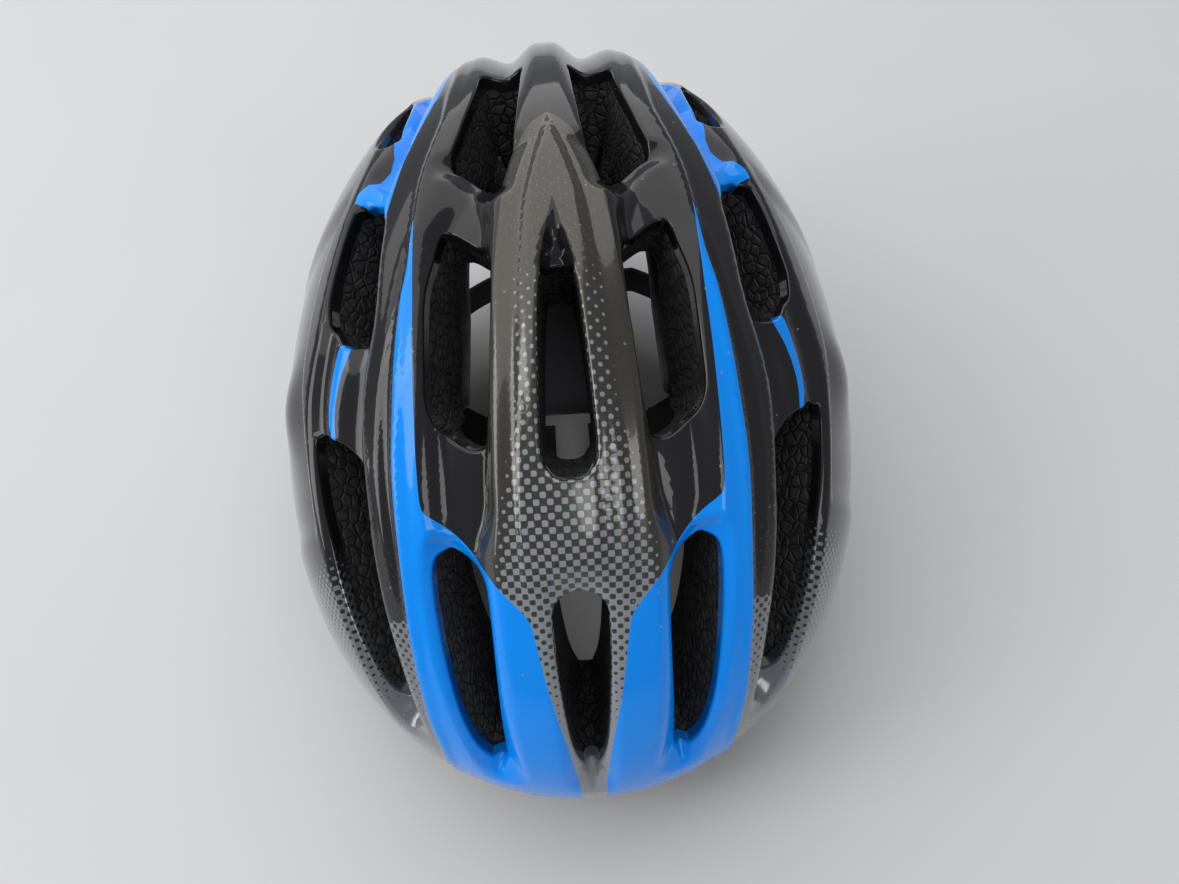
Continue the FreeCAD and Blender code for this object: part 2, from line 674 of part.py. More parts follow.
def rack_outline(name, first, teeth):
    """Toothed edge of a rack, above the dial's axis, seen from the front."""
    pitch = 2 * math.pi * float(D.rack_pitch_radius) / float(D.pinion_teeth)
    level = float(D.pivot_height) + float(D.rack_pitch_radius)
    tip, foot = level - float(D.tooth_addendum), level + float(D.tooth_dedendum)
    slope = float(D.tooth_slope)
    tip_half = float(D.tooth_width) / 2 - slope * float(D.tooth_addendum)
    foot_half = float(D.tooth_width) / 2 + slope * float(D.tooth_dedendum)
    y = float(rack_y) - float(D.arm_thickness) / 2
    solids = []
    for i in range(teeth):
        x = (first + i + 0.5) * pitch
        corners = [(x - tip_half, tip), (x + tip_half, tip), (x + foot_half, foot),
                   (x + foot_half, foot + 0.5), (x - foot_half, foot + 0.5), (x - foot_half, foot)]
        wire = Part.makePolygon([Vector(a, y, b) for a, b in corners + corners[:1]])
        solids.append(Part.Face(wire).extrude(Vector(0, float(D.arm_thickness), 0)))
    return feature(name, Part.makeCompound(solids))


def make_arms():
    """Left arm with its rack above the dial, and the right arm, turned half round the dial's axis."""
    half = D.arm_thickness / 2
    arm_z = (D.pivot_height - D.arm_height / 2, D.pivot_height + D.arm_height / 2)
    ring = cut("band_ring", oval_post("band_out", arm_across + half, arm_along + half, D.cavity_y, arm_z),
               oval_post("band_in", arm_across - half, arm_along - half, D.cavity_y, arm_z))
    side = common("arm_side", ring, box("arm_room", (rack_x, cavity_half),
                                        (D.pivot_y - D.boss_radius, D.cavity_y + cavity_reach), arm_z))
    foot = D.pivot_height + D.rack_pitch_radius + D.tooth_dedendum
    bar = box("rack_bar", (-D.rack_overlap, rack_x - D.arm_travel), (rack_y - half, rack_y + half),
              (foot, arm_z[1]))
    link = box("rack_link", (rack_x - D.arm_travel, rack_x + D.arm_thickness / 4),
               (rack_y - half, rack_y + half), arm_z)
    teeth = rack_outline("rack_edge", -2, int(float(D.rack_teeth)))
    boss = rod("boss", SPIN_X, D.boss_radius, D.boss_reach * 2, pin_x - D.boss_reach, D.pivot_y,
               D.pivot_height)
    bore = rod("boss_bore", SPIN_X, D.pin_radius, D.boss_reach * 4, pin_x - D.boss_reach * 2, D.pivot_y,
               D.pivot_height)
    left = cut("left_band_arm", fuse("arm_blank", [side, link, bar, teeth, boss]), bore)
    node(left, "left_band_arm")
    across = mirror("arm_across", left)
    node(mirror("right_band_arm", across, Vector(0, 0, 1), D.pivot_height), "right_band_arm")
    pin = fuse("left_temple_pin", [
        rod("pin_shank", SPIN_X, D.pin_radius, pin_end - pin_x + D.boss_reach, pin_x - D.boss_reach,
            D.pivot_y, D.pivot_height),
        rod("pin_head", SPIN_X, D.pin_head_radius, D.pin_head_height,
            pin_x - D.boss_reach - D.pin_head_height, D.pivot_y, D.pivot_height)])
    node(pin, "left_temple_pin")
    node(mirror("right_temple_pin", pin), "right_temple_pin")


def make_bushings():
    """Flanged bushings moulded into the foam, one round pin in each."""
    barrel = rod("bushing_barrel", SPIN_X, bushing_radius, bushing_end - flange_x, flange_x, D.pivot_y,
                 D.pivot_height)
    flange = rod("bushing_flange_disc", SPIN_X, D.bushing_flange_radius, D.bushing_flange, flange_x,
                 D.pivot_y, D.pivot_height)
    bore = rod("bushing_bore", SPIN_X, D.pin_radius + D.running_gap,
               pin_end + D.slide_gap - flange_x + OVERCUT, flange_x - OVERCUT, D.pivot_y, D.pivot_height)
    left = node(cut("left_temple_bushing", fuse("bushing_blank", [barrel, flange]), bore),
                "left_temple_bushing")
    node(mirror("right_temple_bushing", left), "right_temple_bushing")


# ---------------------------------------------------------------- cradle and dial

def screw(name, radius, reach, head_radius, head_height, x, y, z):
    """Pan-head screw driven towards +Y, y being the seat of its head."""
    return fuse(name, [rod(name + "_shank", SPIN_Y, radius, reach, x, y, z),
                       rod(name + "_head", SPIN_Y, head_radius, head_height, x, y - head_height, z)])


def cover_screw_places():
    level = D.arm_height / 2 + D.slide_gap + D.cradle_rim / 2
    return [(side * D.cover_screw_x, D.pivot_height + up * level) for side in (-1, 1) for up in (-1, 1)]


def make_cradle():
    """Rack housing, its cover, screws, height strap and its rail."""
    width = (-D.cradle_half_width, D.cradle_half_width)
    height = (cradle_floor, cradle_roof)
    slot_z = (D.pivot_height - D.arm_height / 2 - D.slide_gap,
              D.pivot_height + D.arm_height / 2 + D.slide_gap)
    shell = box("cradle_block", width, (rack_y - slot_half, base_y), height)
    tongue = box("cradle_tongue", (-D.tongue_half_width, D.tongue_half_width),
                 (rack_y - slot_half, base_y), (cradle_roof, tongue_top))
    slot = box("rack_slot", (-D.cradle_half_width - OVERCUT, D.cradle_half_width + OVERCUT),
               (rack_y - slot_half - OVERCUT, wall_y), slot_z)
    axle_hole = rod("axle_hole", SPIN_Y, D.axle_radius + D.running_gap,
                    D.cradle_wall + 2 * OVERCUT, 0, wall_y - OVERCUT, D.pivot_height)
    screw_holes = [rod(f"base_hole_{i}", SPIN_Y, D.cover_screw_radius,
                       D.cover_screw_reach + OVERCUT, x, cover_y - OVERCUT, z)
                   for i, (x, z) in enumerate(cover_screw_places())]
    arc = rod("post_envelope", SPIN_X, post_outer, 2 * D.cradle_half_width, -D.cradle_half_width,
              D.pivot_y, D.pivot_height)
    inner_arc = rod("post_hollow", SPIN_X, post_inner, 2 * D.cradle_half_width, -D.cradle_half_width,
                    D.pivot_y, D.pivot_height)
    seat = common("tongue_seat", cut("post_ring", arc, inner_arc),
                  box("tongue_room", (-D.cradle_half_width, D.cradle_half_width),
                      (rack_y, base_y + D.post_thickness), (cradle_roof, tongue_top + OVERCUT)))
    rivet_z = (D.post_start + tongue_top) / 2
    rivet_xs = (-D.rivet_spacing / 2, D.rivet_spacing / 2)
    rivet_holes = [rod(f"rivet_hole_{i}", SPIN_Y, D.rivet_radius, cavity_reach, x, D.cavity_y, rivet_z)
                   for i, x in enumerate(rivet_xs)]
    blank = fuse("cradle_blank", [shell, tongue])
    tools = fuse("cradle_tools", [slot, axle_hole, seat] + screw_holes + rivet_holes)
    node(cut("cradle_base", blank, tools), "cradle_base")

    plate = box("cover_plate", width, (cover_y, rack_y - slot_half), height)
    window = rod("cover_window", SPIN_Y, D.screw_head_radius + 2 * D.slide_gap,
                 D.cover_thickness + 2 * OVERCUT, 0, cover_y - OVERCUT, D.pivot_height)
    cover_holes = [rod(f"cover_hole_{i}", SPIN_Y, D.cover_screw_radius,
                       D.cover_thickness + 2 * OVERCUT, x, cover_y - OVERCUT, z)
                   for i, (x, z) in enumerate(cover_screw_places())]
    node(cut("cradle_cover", plate, fuse("cover_tools", [window] + cover_holes)), "cradle_cover")
    screws = [screw(f"cover_screw_{i}", D.cover_screw_radius, D.cover_screw_reach, D.cover_screw_head,
                    D.screw_head_height * 0.7, x, cover_y, z)
              for i, (x, z) in enumerate(cover_screw_places())]
    node(group("cover_screws", screws), "cover_screws")

    strip = common("post_strip", cut("post_arc", arc, inner_arc),
                   box("post_room", (-D.post_half_width, D.post_half_width),
                       (D.cavity_y, D.cavity_y + cavity_reach + D.post_thickness),
                       (D.post_start, D.post_top)))
    detents = [rod(f"detent_{i}", SPIN_Y, D.detent_radius, cavity_reach, 0, D.cavity_y,
                   D.post_top - (i + 1) * D.detent_pitch) for i in range(3)]
    node(cut("height_post", strip, fuse("post_holes", detents + rivet_holes)), "height_post")
    rivet_back = arc_y(post_outer, rivet_z)
    rivets = [fuse(f"rivet_{i}", [
        rod(f"rivet_shank_{i}", SPIN_Y, D.rivet_radius, rivet_back - (rack_y - slot_half), x,
            rack_y - slot_half, rivet_z),
        rod(f"rivet_head_{i}", SPIN_Y, D.rivet_head_radius, D.rivet_head_height, x,
            rack_y - slot_half - D.rivet_head_height, rivet_z)]) for i, x in enumerate(rivet_xs)]
    node(group("post_rivets", rivets), "post_rivets")

    rail_top = D.rail_floor + D.rail_height
    rail_half = D.post_half_width + D.rail_gap + D.rail_wall
    block = box("rail_block", (-rail_half, rail_half),
                (arc_y(post_inner - D.rail_gap, rail_top) - D.rail_wall, D.cavity_y + cavity_reach),
                (D.rail_floor, rail_top))
    wall = feature("rail_wall_dome", closed_dome(cavity_point, float(D.bond_gap)))
    passage = common("rail_passage", cut("rail_ring",
                     rod("rail_out", SPIN_X, post_outer + D.rail_gap, 2 * rail_half, -rail_half, D.pivot_y,
                         D.pivot_height),
                     rod("rail_in", SPIN_X, post_inner - D.rail_gap, 2 * rail_half, -rail_half, D.pivot_y,
                         D.pivot_height)),
                     box("rail_slot", (-D.post_half_width - D.rail_gap, D.post_half_width + D.rail_gap),
                         (D.cavity_y, D.cavity_y + cavity_reach),
                         (D.rail_floor - OVERCUT, rail_top + OVERCUT)))
    node(cut("height_rail", common("rail_blank", block, wall), passage), "height_rail")

    for label, side in (("left_cradle_pad", 1), ("right_cradle_pad", -1)):
        x = (D.cradle_pad_inner, D.cradle_pad_outer)
        if side < 0:
            x = (-D.cradle_pad_outer, -D.cradle_pad_inner)
        y = cover_y - D.pad_gap
        pad_z = (D.pivot_height - D.cradle_pad_height / 2, D.pivot_height + D.cradle_pad_height / 2)
        node(box(label, x, (y - D.cradle_pad_thickness, y), pad_z), label)


def make_dial():
    """Knob, pinion, screw and click spring, all on the dial's axis."""
    axis = Rotation(Vector(1, 0, 0), -90)        # body +Z points back, along +Y
    knob = new_body("dial_knob", Placement(Vector(0, float(dial_y), float(D.pivot_height)), axis))
    disc = pad(knob, draw_circle(sketch(knob, "XY_Plane"), D.dial_radius), D.dial_depth)
    doc.recompute()
    rims = [f"Edge{i}" for i, edge in enumerate(disc.Shape.Edges, start=1)
            if edge.Closed and edge.CenterOfMass.z > float(D.dial_depth) / 2]
    chamfer = knob.newObject("PartDesign::Chamfer", "dial_rim")
    chamfer.Base = (disc, rims)
    bind(chamfer, "Size", D.dial_chamfer)
    stub = D.slide_gap + D.cradle_wall + slot_half - D.arm_thickness / 2 - D.running_gap
    pad(knob, draw_circle(sketch(knob, "XY_Plane"), D.axle_radius), stub, backwards=True)
    bore_depth = D.dial_screw_reach - D.arm_thickness - D.running_gap * 2
    pocket(knob, draw_circle(sketch(knob, "XY_Plane", -stub), D.screw_radius), bore_depth,
           backwards=True)
    doc.recompute()
    grip = pocket(knob, draw_circle(sketch(knob, "XY_Plane", D.dial_depth), D.grip_radius,
                                    D.dial_radius + D.grip_radius / 4, 0), D.dial_depth * 0.8)
    ring = knob.newObject("PartDesign::PolarPattern", "dial_grips")
    ring.Originals = [grip]
    ring.Axis = ([item for item in knob.Origin.OriginFeatures if item.Role == "Z_Axis"][0], [""])
    ring.Angle = 360
    bind(ring, "Occurrences", D.dial_grips)
    knob.Tip = ring
    node(knob, "dial_knob")

    half = D.arm_thickness / 2
    wheel = new_body("pinion", Placement(Vector(0, float(rack_y - half), float(D.pivot_height)), axis))
    hub = draw_circle(sketch(wheel, "XY_Plane"), D.rack_pitch_radius - D.tooth_dedendum)
    draw_circle(hub, D.screw_radius)
    pad(wheel, hub, D.arm_thickness)
    tip = D.rack_pitch_radius + D.tooth_addendum
    foot = D.rack_pitch_radius - D.tooth_dedendum - D.tooth_width / 4
    tip_half = D.tooth_width / 2 - D.tooth_slope * D.tooth_addendum
    foot_half = D.tooth_width / 2 + D.tooth_slope * D.tooth_dedendum
    doc.recompute()
    outline = [(-foot_half, foot), (-tip_half, tip), (tip_half, tip), (foot_half, foot)]
    tooth = pad(wheel, draw_polygon(sketch(wheel, "XY_Plane"), outline), D.arm_thickness)
    teeth = wheel.newObject("PartDesign::PolarPattern", "pinion_ring")
    teeth.Originals = [tooth]
    teeth.Axis = ([item for item in wheel.Origin.OriginFeatures if item.Role == "Z_Axis"][0], [""])
    teeth.Angle = 360
    bind(teeth, "Occurrences", D.pinion_teeth)
    wheel.Tip = teeth
    node(wheel, "pinion")
    node(screw("dial_screw", D.screw_radius, D.dial_screw_reach - D.running_gap, D.screw_head_radius,
               D.screw_head_height, 0, rack_y - half, D.pivot_height), "dial_screw")


# ---------------------------------------------------------------- chin straps

def make_anchors():
    """Bar anchors seated in the foam; the straps loop round their bars."""
    x0, x1 = anchor_span_x
    z0, z1 = anchor_span_z
    for name, y in anchor_ys.items():
        block = box(f"{name}_anchor_block", (x0, x1), (y - anchor_half_width, y + anchor_half_width),
                    (z0, z1))
        mouth = box(f"{name}_anchor_mouth", (x0 - OVERCUT, D.anchor_x + loop_outer + D.anchor_clear),
                    (y - anchor_inner, y + anchor_inner),
                    (z0 - OVERCUT, D.anchor_height + loop_outer + D.anchor_clear))
        bar = rod(f"{name}_anchor_bar", SPIN_Y, D.bar_radius, 2 * anchor_inner, D.anchor_x,
                  y - anchor_inner, D.anchor_height)
        made = fuse(f"left_{name}_anchor", [cut(f"{name}_anchor_frame", block, mouth), bar])
        node(made, f"left_{name}_anchor")
        node(mirror(f"right_{name}_anchor", made), f"right_{name}_anchor")


def loop(name, y, z):
    """Ring of webbing round a bar along Y, in the strap's own frame; y as (low, high)."""
    return cut(name, rod(name + "_out", SPIN_Y, loop_outer, y[1] - y[0], z[0], y[0], z[1]),
               rod(name + "_in", SPIN_Y, loop_inner, y[1] - y[0], z[0], y[0], z[1]))


def slab(name, corners, z):
    """Flat piece of webbing from a plan outline; z as (low, high)."""
    owner = new_body(name)
    drawing = draw_polygon(sketch(owner, "XY_Plane", z[0]), corners)
    pad(owner, drawing, z[1] - z[0])
    return owner


def strap_pair(thing, name):
    """Put a piece drawn in the strap's frame on the left, and its mirror image on the right."""
    thing.Placement = strap_frame
    node(thing, f"left_{name}")
    node(mirror(f"right_{name}", thing), f"right_{name}")


def make_legs():
    """Front and rear webbing from the anchors into the divider."""
    end = divider_end - D.divider_side
    for name, side in (("front", -1), ("rear", 1)):
        start_y = side * D.anchor_spread
        end_y = start_y - side * leg_slope * end
        level = (loop_inner, loop_outer) if side > 0 else (-loop_outer, -loop_inner)
        plan = [(0, start_y - leg_half_width), (0, start_y + leg_half_width),
                (-end, end_y + leg_half_width), (-end, end_y - leg_half_width)]
        web = slab(f"{name}_web", plan, level)
        ring = loop(f"{name}_loop", (start_y - leg_half_width, start_y + leg_half_width), (0, 0))
        strap_pair(fuse(f"left_{name}_strap", [web, ring]), f"{name}_strap")


def make_divider():
    """Sleeve that gathers both straps, with the bar that carries the chin strap."""
    spread = leg_slope * D.divider_length / 2 + leg_half_width + D.divider_gap
    outer = spread + D.divider_side
    owner = new_body("divider_sleeve")
    plan = draw_box(sketch(owner, "XY_Plane"), (-divider_end, -divider_start), (-outer, outer))
    pad(owner, plan, 2 * divider_half_height, midplane=True)
    opening = draw_box(sketch(owner, "XY_Plane"), (-divider_end - OVERCUT, -divider_start + OVERCUT),
                       (-spread, spread))
    pocket(owner, opening, 2 * (loop_outer + D.divider_gap), midplane=True)
    inner = D.web_width / 2 + D.divider_gap
    cheeks = [box(f"cheek_{i}", (-fold_x - loop_outer, -divider_end + D.cheek_lap), y,
                  (-divider_half_height, D.fold_height + D.bar_radius))
              for i, y in enumerate(((inner, inner + D.cheek_thickness),
                                     (-inner - D.cheek_thickness, -inner)))]
    webs = [box(f"cheek_web_{i}", (-divider_end - D.cheek_lap, -divider_end + D.cheek_lap),
                (-inner - D.cheek_thickness, inner + D.cheek_thickness), z)
            for i, z in enumerate(((divider_half_height - D.divider_wall, divider_half_height),
                                   (-divider_half_height, D.divider_wall - divider_half_height)))]
    bar = rod("fold_bar", SPIN_Y, D.bar_radius, 2 * inner, -fold_x, -inner, D.fold_height)
    strap_pair(fuse("left_divider", [owner, bar] + cheeks + webs), "divider")


chin_level = (D.fold_height + loop_inner, D.fold_height + loop_outer)
chin_mid = D.fold_height + (loop_inner + loop_outer) / 2
buckle_start = fold_x - D.chin_run
buckle_end = buckle_start - D.buckle_length
buckle_span_z = (chin_mid - D.buckle_height / 2, chin_mid + D.buckle_height / 2)


def make_chin_straps():
    """Chin webbing looped on the divider's bar and folded back over the sleeve."""
    half = D.web_width / 2
    plan = [(-fold_x, -half), (-fold_x, half), (-buckle_start + D.buckle_mouth, half),
            (-buckle_start + D.buckle_mouth, -half)]
    web = slab("chin_web", plan, chin_level)
    ring = loop("chin_loop", (-half, half), (-fold_x, D.fold_height))
    strap_pair(fuse("left_chin_strap", [web, ring]), "chin_strap")

    gap = D.slide_gap
    for name, reach, wall in (("keeper", D.keeper_length, D.keeper_wall),
                              ("chin_sleeve", D.chin_pad_length, D.chin_pad_wall)):
        near = -divider_end + (D.keeper_offset - D.fold_reach if name == "keeper" else 2 * D.cheek_lap)
        skin = box(name + "_skin", (near, near + reach), (-half - gap - wall, half + gap + wall),
                   (chin_level[0] - gap - wall, chin_level[1] + gap + wall))
        core = box(name + "_core", (near - OVERCUT, near + reach + OVERCUT), (-half - gap, half + gap),
                   (chin_level[0] - gap, chin_level[1] + gap))
        made = cut(name, skin, core)
        made.Placement = strap_frame
        if name == "keeper":
            node(made, "strap_keeper")
        else:
            node(mirror("chin_pad", made), "chin_pad")


def make_buckle():
    """Side-release buckle, undone: the socket on the left strap, the clip on the right one."""
    half = D.buckle_width / 2
    gap = D.slide_gap
    web_room = (chin_level[0] - gap, chin_level[1] + gap)
    web_half = D.web_width / 2 + gap
    mouth = box("socket_web_slot", (-buckle_start - OVERCUT, -buckle_start + D.buckle_mouth + gap),
                (-web_half, web_half), web_room)
    side = D.buckle_length / 3
    socket = new_body("socket_block")
    pad(socket, draw_box(sketch(socket, "XY_Plane", buckle_span_z[0]),
                         (-buckle_start, -buckle_end), (-half, half)), D.buckle_height)
    doc.recompute()
    room = draw_box(sketch(socket, "XY_Plane", buckle_span_z[0] + D.buckle_wall),
                    (-buckle_start + D.buckle_mouth + gap + D.buckle_wall, -buckle_end + OVERCUT),
                    (-half + D.buckle_wall, half - D.buckle_wall))
    pocket(socket, room, D.buckle_height - 2 * D.buckle_wall, backwards=True)
    windows = [box(f"socket_window_{i}", (-buckle_end - side, -buckle_end - D.buckle_mouth), y,
                   (buckle_span_z[0] + D.buckle_wall, buckle_span_z[1] - D.buckle_wall))
               for i, y in enumerate(((half - D.buckle_wall - OVERCUT, half + OVERCUT),
                                      (-half - OVERCUT, -half + D.buckle_wall + OVERCUT)))]
    made = cut("buckle_socket", socket, fuse("socket_tools", [mouth] + windows))
    made.Placement = strap_frame
    node(made, "buckle_socket")

    body_length = D.buckle_length - D.prong_length
    clip_end = -buckle_start + body_length
    plate = box("clip_plate", (-buckle_start, clip_end), (-half, half),
                (buckle_span_z[0], buckle_span_z[1]))
    slot = box("clip_web_slot", (-buckle_start - OVERCUT, -buckle_start + D.buckle_mouth + gap),
               (-web_half, web_half), web_room)
    middle = (chin_mid - D.prong_thickness / 2, chin_mid + D.prong_thickness / 2)
    edge = half - D.buckle_wall - gap
    prongs = [box(f"prong_{i}", (clip_end - OVERCUT, clip_end + D.prong_length), y, middle)
              for i, y in enumerate(((edge - D.prong_width, edge), (-edge, -edge + D.prong_width),
                                     (-D.prong_width / 2, D.prong_width / 2)))]
    clip = cut("clip", fuse("clip_blank", [plate] + prongs), slot)
    clip.Placement = strap_frame
    node(mirror("buckle_clip", clip), "buckle_clip")


# ---------------------------------------------------------------- build and write

def check_and_write():
    """Recompute, make sure that every object is sound, then write one file per sub-part."""
    doc.recompute()
    for thing in doc.Objects:
        if "Invalid" in thing.State or "Error" in thing.State:
            raise RuntimeError(f"{thing.Label} failed: {thing.State}")
    for thing in NODES:
        if thing.Shape.isNull() or not thing.Shape.isValid():
            raise RuntimeError(f"{thing.Label} has no valid shape")
    os.makedirs("parts", exist_ok=True)
    for thing in NODES:
        thing.Shape.exportStep(f"parts/{thing.Label}.step")


make_shell()
make_pads()
make_bushings()
make_arms()
make_cradle()
make_dial()
make_anchors()
make_legs()
make_divider()
make_chin_straps()
make_buckle()
check_and_write()
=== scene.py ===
"""Looks of a vented road cycling helmet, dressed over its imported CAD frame.

The glossy skins are drawn on a flat pattern, unrolled from the crown: u runs across to the wearer's
left and v runs back, both in millimetres, so the brow is at negative v. Shapes are worked out in
millimetres and become metres when a piece is finished.
"""
import json
import math

import bmesh
import bpy
import numpy as np
from bpy.props import FloatProperty, FloatVectorProperty, PointerProperty
from mathutils import Matrix, Vector
from mathutils.geometry import delaunay_2d_cdt
from mathutils.kdtree import KDTree


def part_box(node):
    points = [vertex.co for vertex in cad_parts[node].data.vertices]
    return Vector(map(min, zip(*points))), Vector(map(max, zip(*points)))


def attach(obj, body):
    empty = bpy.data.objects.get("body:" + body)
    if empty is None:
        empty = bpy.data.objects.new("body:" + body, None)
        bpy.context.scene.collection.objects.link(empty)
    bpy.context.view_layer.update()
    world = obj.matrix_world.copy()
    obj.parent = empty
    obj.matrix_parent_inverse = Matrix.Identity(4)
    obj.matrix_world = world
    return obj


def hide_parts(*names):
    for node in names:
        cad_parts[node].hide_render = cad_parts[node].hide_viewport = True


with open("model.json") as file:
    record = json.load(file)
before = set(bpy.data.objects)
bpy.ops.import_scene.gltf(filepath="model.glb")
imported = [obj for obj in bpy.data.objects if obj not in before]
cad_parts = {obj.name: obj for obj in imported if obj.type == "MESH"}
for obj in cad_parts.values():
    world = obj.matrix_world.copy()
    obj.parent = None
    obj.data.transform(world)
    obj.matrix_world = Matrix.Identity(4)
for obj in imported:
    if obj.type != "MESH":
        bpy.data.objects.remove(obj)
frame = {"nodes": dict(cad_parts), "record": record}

bl_info = {
    "name": "Road cycling helmet looks",
    "version": (1, 0, 0),
    "blender": (4, 5, 0),
    "location": "3D View > Sidebar > Helmet",
    "description": "Glossy skins, bead foam, comfort pads and webbing over the helmet's frame",
    "category": "Object",
}

MM = 0.001


# ---------------------------------------------------------------- sizes and colours

def length(name, description, millimetres):
    return FloatProperty(name=name, description=description, default=millimetres * MM,
                         unit="LENGTH", subtype="DISTANCE", precision=4)


def colour(name, description, default):
    return FloatVectorProperty(name=name, description=description, default=default, size=3,
                               min=0, max=1, subtype="COLOR")


class HELMET_PG_skin(bpy.types.PropertyGroup):
    """Sizes of the skins' relief and edges."""
    flute_depth: length("Flute depth", "Depth of the long flutes between the ribs", 5)
    plateau_height: length("Plateau height", "Rise of the raised strip along the crown", 1.5)
    recess_depth: length("Recess depth", "Depth of the hollows beside the vents", 4)
    crease_height: length("Crease height", "Rise of the sharp creases along the ribs", 0.9)
    ear_flare: length("Ear flare", "Swell of the lower edge over each ear", 2.5)
    lip_radius: length("Vent lip radius", "Radius at which the skin turns into a vent", 1.1)
    lip_wall: length("Vent lip wall", "Depth to which the skin lines a vent", 2.6)
    facet: length("Facet size", "Spacing of the skin's mesh", 1.4)


class HELMET_PG_paint(bpy.types.PropertyGroup):
    """Colours of the skins."""
    black: colour("Black", "Clear-coated black of the ribs", (0.010, 0.010, 0.011))
    blue: colour("Blue", "Clear-coated blue stripes", (0.0, 0.27, 0.93))
    gunmetal: colour("Gunmetal", "Warm metallic grey along the middle", (0.058, 0.055, 0.045))
    silver: colour("Silver", "Light dots of the halftone fade", (0.25, 0.27, 0.29))
    dot_pitch: length("Dot pitch", "Spacing of the halftone dots", 1.9)


class HELMET_PG_soft(bpy.types.PropertyGroup):
    """Colours of the soft parts."""
    pad_cloth: colour("Pad cloth", "Brushed knit of the comfort pads", (0.022, 0.022, 0.025))
    webbing: colour("Webbing", "Woven chin straps", (0.016, 0.016, 0.017))
    foam: colour("Foam", "Moulded bead foam", (0.018, 0.018, 0.019))


# ---------------------------------------------------------------- the dome and its flat pattern

HALF_WIDTH, HALF_LENGTH = 103.5, 149.0
RISE, WAIST = 122.0, 45.0
FRONT_FLARE, CROWN_LEAN, CROWN_FALL = 0.08, 0.10, 0.15
CENTRE = np.array([0.0, 0.0, WAIST])

# Head space: half an ovoid over an upright oval wall, with two air channels in its roof.
CAVITY_ACROSS, CAVITY_ALONG, CAVITY_RISE, CAVITY_Y = 84.0, 106.0, 90.0, -4.0
CHANNEL_X, CHANNEL_HALF, CHANNEL_DEPTH, CHANNEL_FLOOR, CHANNEL_REACH = 22.0, 7.5, 9.0, 74.0, 88.0

# Rim seen from the side: (along, height).
RIM = [(-164, 9), (-118, 6.3), (-72, -1.2), (-33, 8.25), (6, 15), (35, 8.25), (64, -1.2),
       (80.8, 12.3), (97.6, 42.6), (112, 56), (164, 56)]
BAND_HEIGHT = 15
PARTING_GAP = 0.4
RIM_LIFT = 0.9          # the rolled rim of the skin hangs this far below the line that it is cut to

COURSE_STEP = 2.0       # spacing of the points of long lines
CURVE_STEPS = 12        # steps between two given points of a smooth curve
NEAR = 3.0              # reach enough to tell the inside of an outline from its outside


def dome(u, v):
    """Points of the smooth dome over the flat pattern."""
    a, b = u / HALF_WIDTH, v / HALF_LENGTH
    angle = np.hypot(a, b)
    share = np.sinc(angle / np.pi)
    x, y, z = share * a, share * b, np.cos(angle)
    lean = 1 + CROWN_LEAN * y - CROWN_FALL * y * y
    return np.stack([HALF_WIDTH * x * (1 - FRONT_FLARE * y), HALF_LENGTH * y,
                     WAIST + RISE * z * lean], -1)


def unit(vectors):
    """The same directions at length 1."""
    return vectors / np.maximum(np.linalg.norm(vectors, axis=-1, keepdims=True), 1e-12)


def outward(surface, u, v, step=0.35):
    """Unit normals of a surface over the flat pattern."""
    across = surface(u + step, v) - surface(u - step, v)
    along = surface(u, v + step) - surface(u, v - step)
    return unit(np.cross(across, along))


def ease(x, low=0.0, high=1.0):
    """0 below low, 1 above high, smooth between."""
    t = np.clip((x - low) / (high - low), 0, 1)
    return t * t * (3 - 2 * t)


def follow(v, line):
    """How far across a course lies at each station."""
    return np.interp(v, line[:, 1], line[:, 0])


def span(v, front, full, fading, back):
    """0 ahead of front and behind back, 1 between full and fading, smooth between."""
    return ease(v, front, full) * ease(-v, -back, -fading)


def tent(x, before, after):
    """Sharp ridge of height 1 at 0 that falls away over the two widths."""
    return np.clip(1 + np.where(x < 0, x / before, -x / after), 0, 1)


def signed_distance(u, v, outline, reach=14.0):
    """Distance inside a closed outline, negative outside it, and -reach well away from it."""
    result = np.full(np.shape(u), -float(reach))
    low, high = outline.min(0) - reach, outline.max(0) + reach
    near = (u > low[0]) & (u < high[0]) & (v > low[1]) & (v < high[1])
    if not near.any():
        return result
    p = np.stack([u[near], v[near]], -1)[:, None]
    a, b = outline[None], np.roll(outline, -1, 0)[None]
    side = b - a
    share = np.clip(((p - a) * side).sum(-1) / np.maximum((side ** 2).sum(-1), 1e-12), 0, 1)
    distance = np.linalg.norm(a + share[..., None] * side - p, axis=-1).min(1)
    slope = side[..., 0] / np.where(np.abs(side[..., 1]) < 1e-12, 1e-12, side[..., 1])
    crossed = ((a[..., 1] > p[..., 1]) != (b[..., 1] > p[..., 1])) & (
        p[..., 0] < a[..., 0] + (p[..., 1] - a[..., 1]) * slope)
    inside = crossed.sum(1) % 2 == 1
    result[near] = np.where(inside, distance, -distance)
    return result


def rounded(points, spacing, closed=True):
    """Even points along a smooth curve through the given ones."""
    p = np.array(points, float)
    if closed:
        rows = [np.roll(p, shift, 0) for shift in (1, 0, -1, -2)]
    else:
        ends = np.vstack([2 * p[0] - p[1], p, 2 * p[-1] - p[-2]])
        rows = [ends[i:len(ends) - 3 + i] for i in range(4)]
    t = np.linspace(0, 1, CURVE_STEPS, endpoint=False)[None, :, None]
    p0, p1, p2, p3 = [row[:, None] for row in rows]
    curve = 0.5 * (2 * p1 + (p2 - p0) * t + (2 * p0 - 5 * p1 + 4 * p2 - p3) * t ** 2
                   + (3 * p1 - p0 - 3 * p2 + p3) * t ** 3)
    curve = curve.reshape(-1, 2)
    curve = np.vstack([curve, p[:1] if closed else p[-1:]])
    return even(curve, spacing, closed)


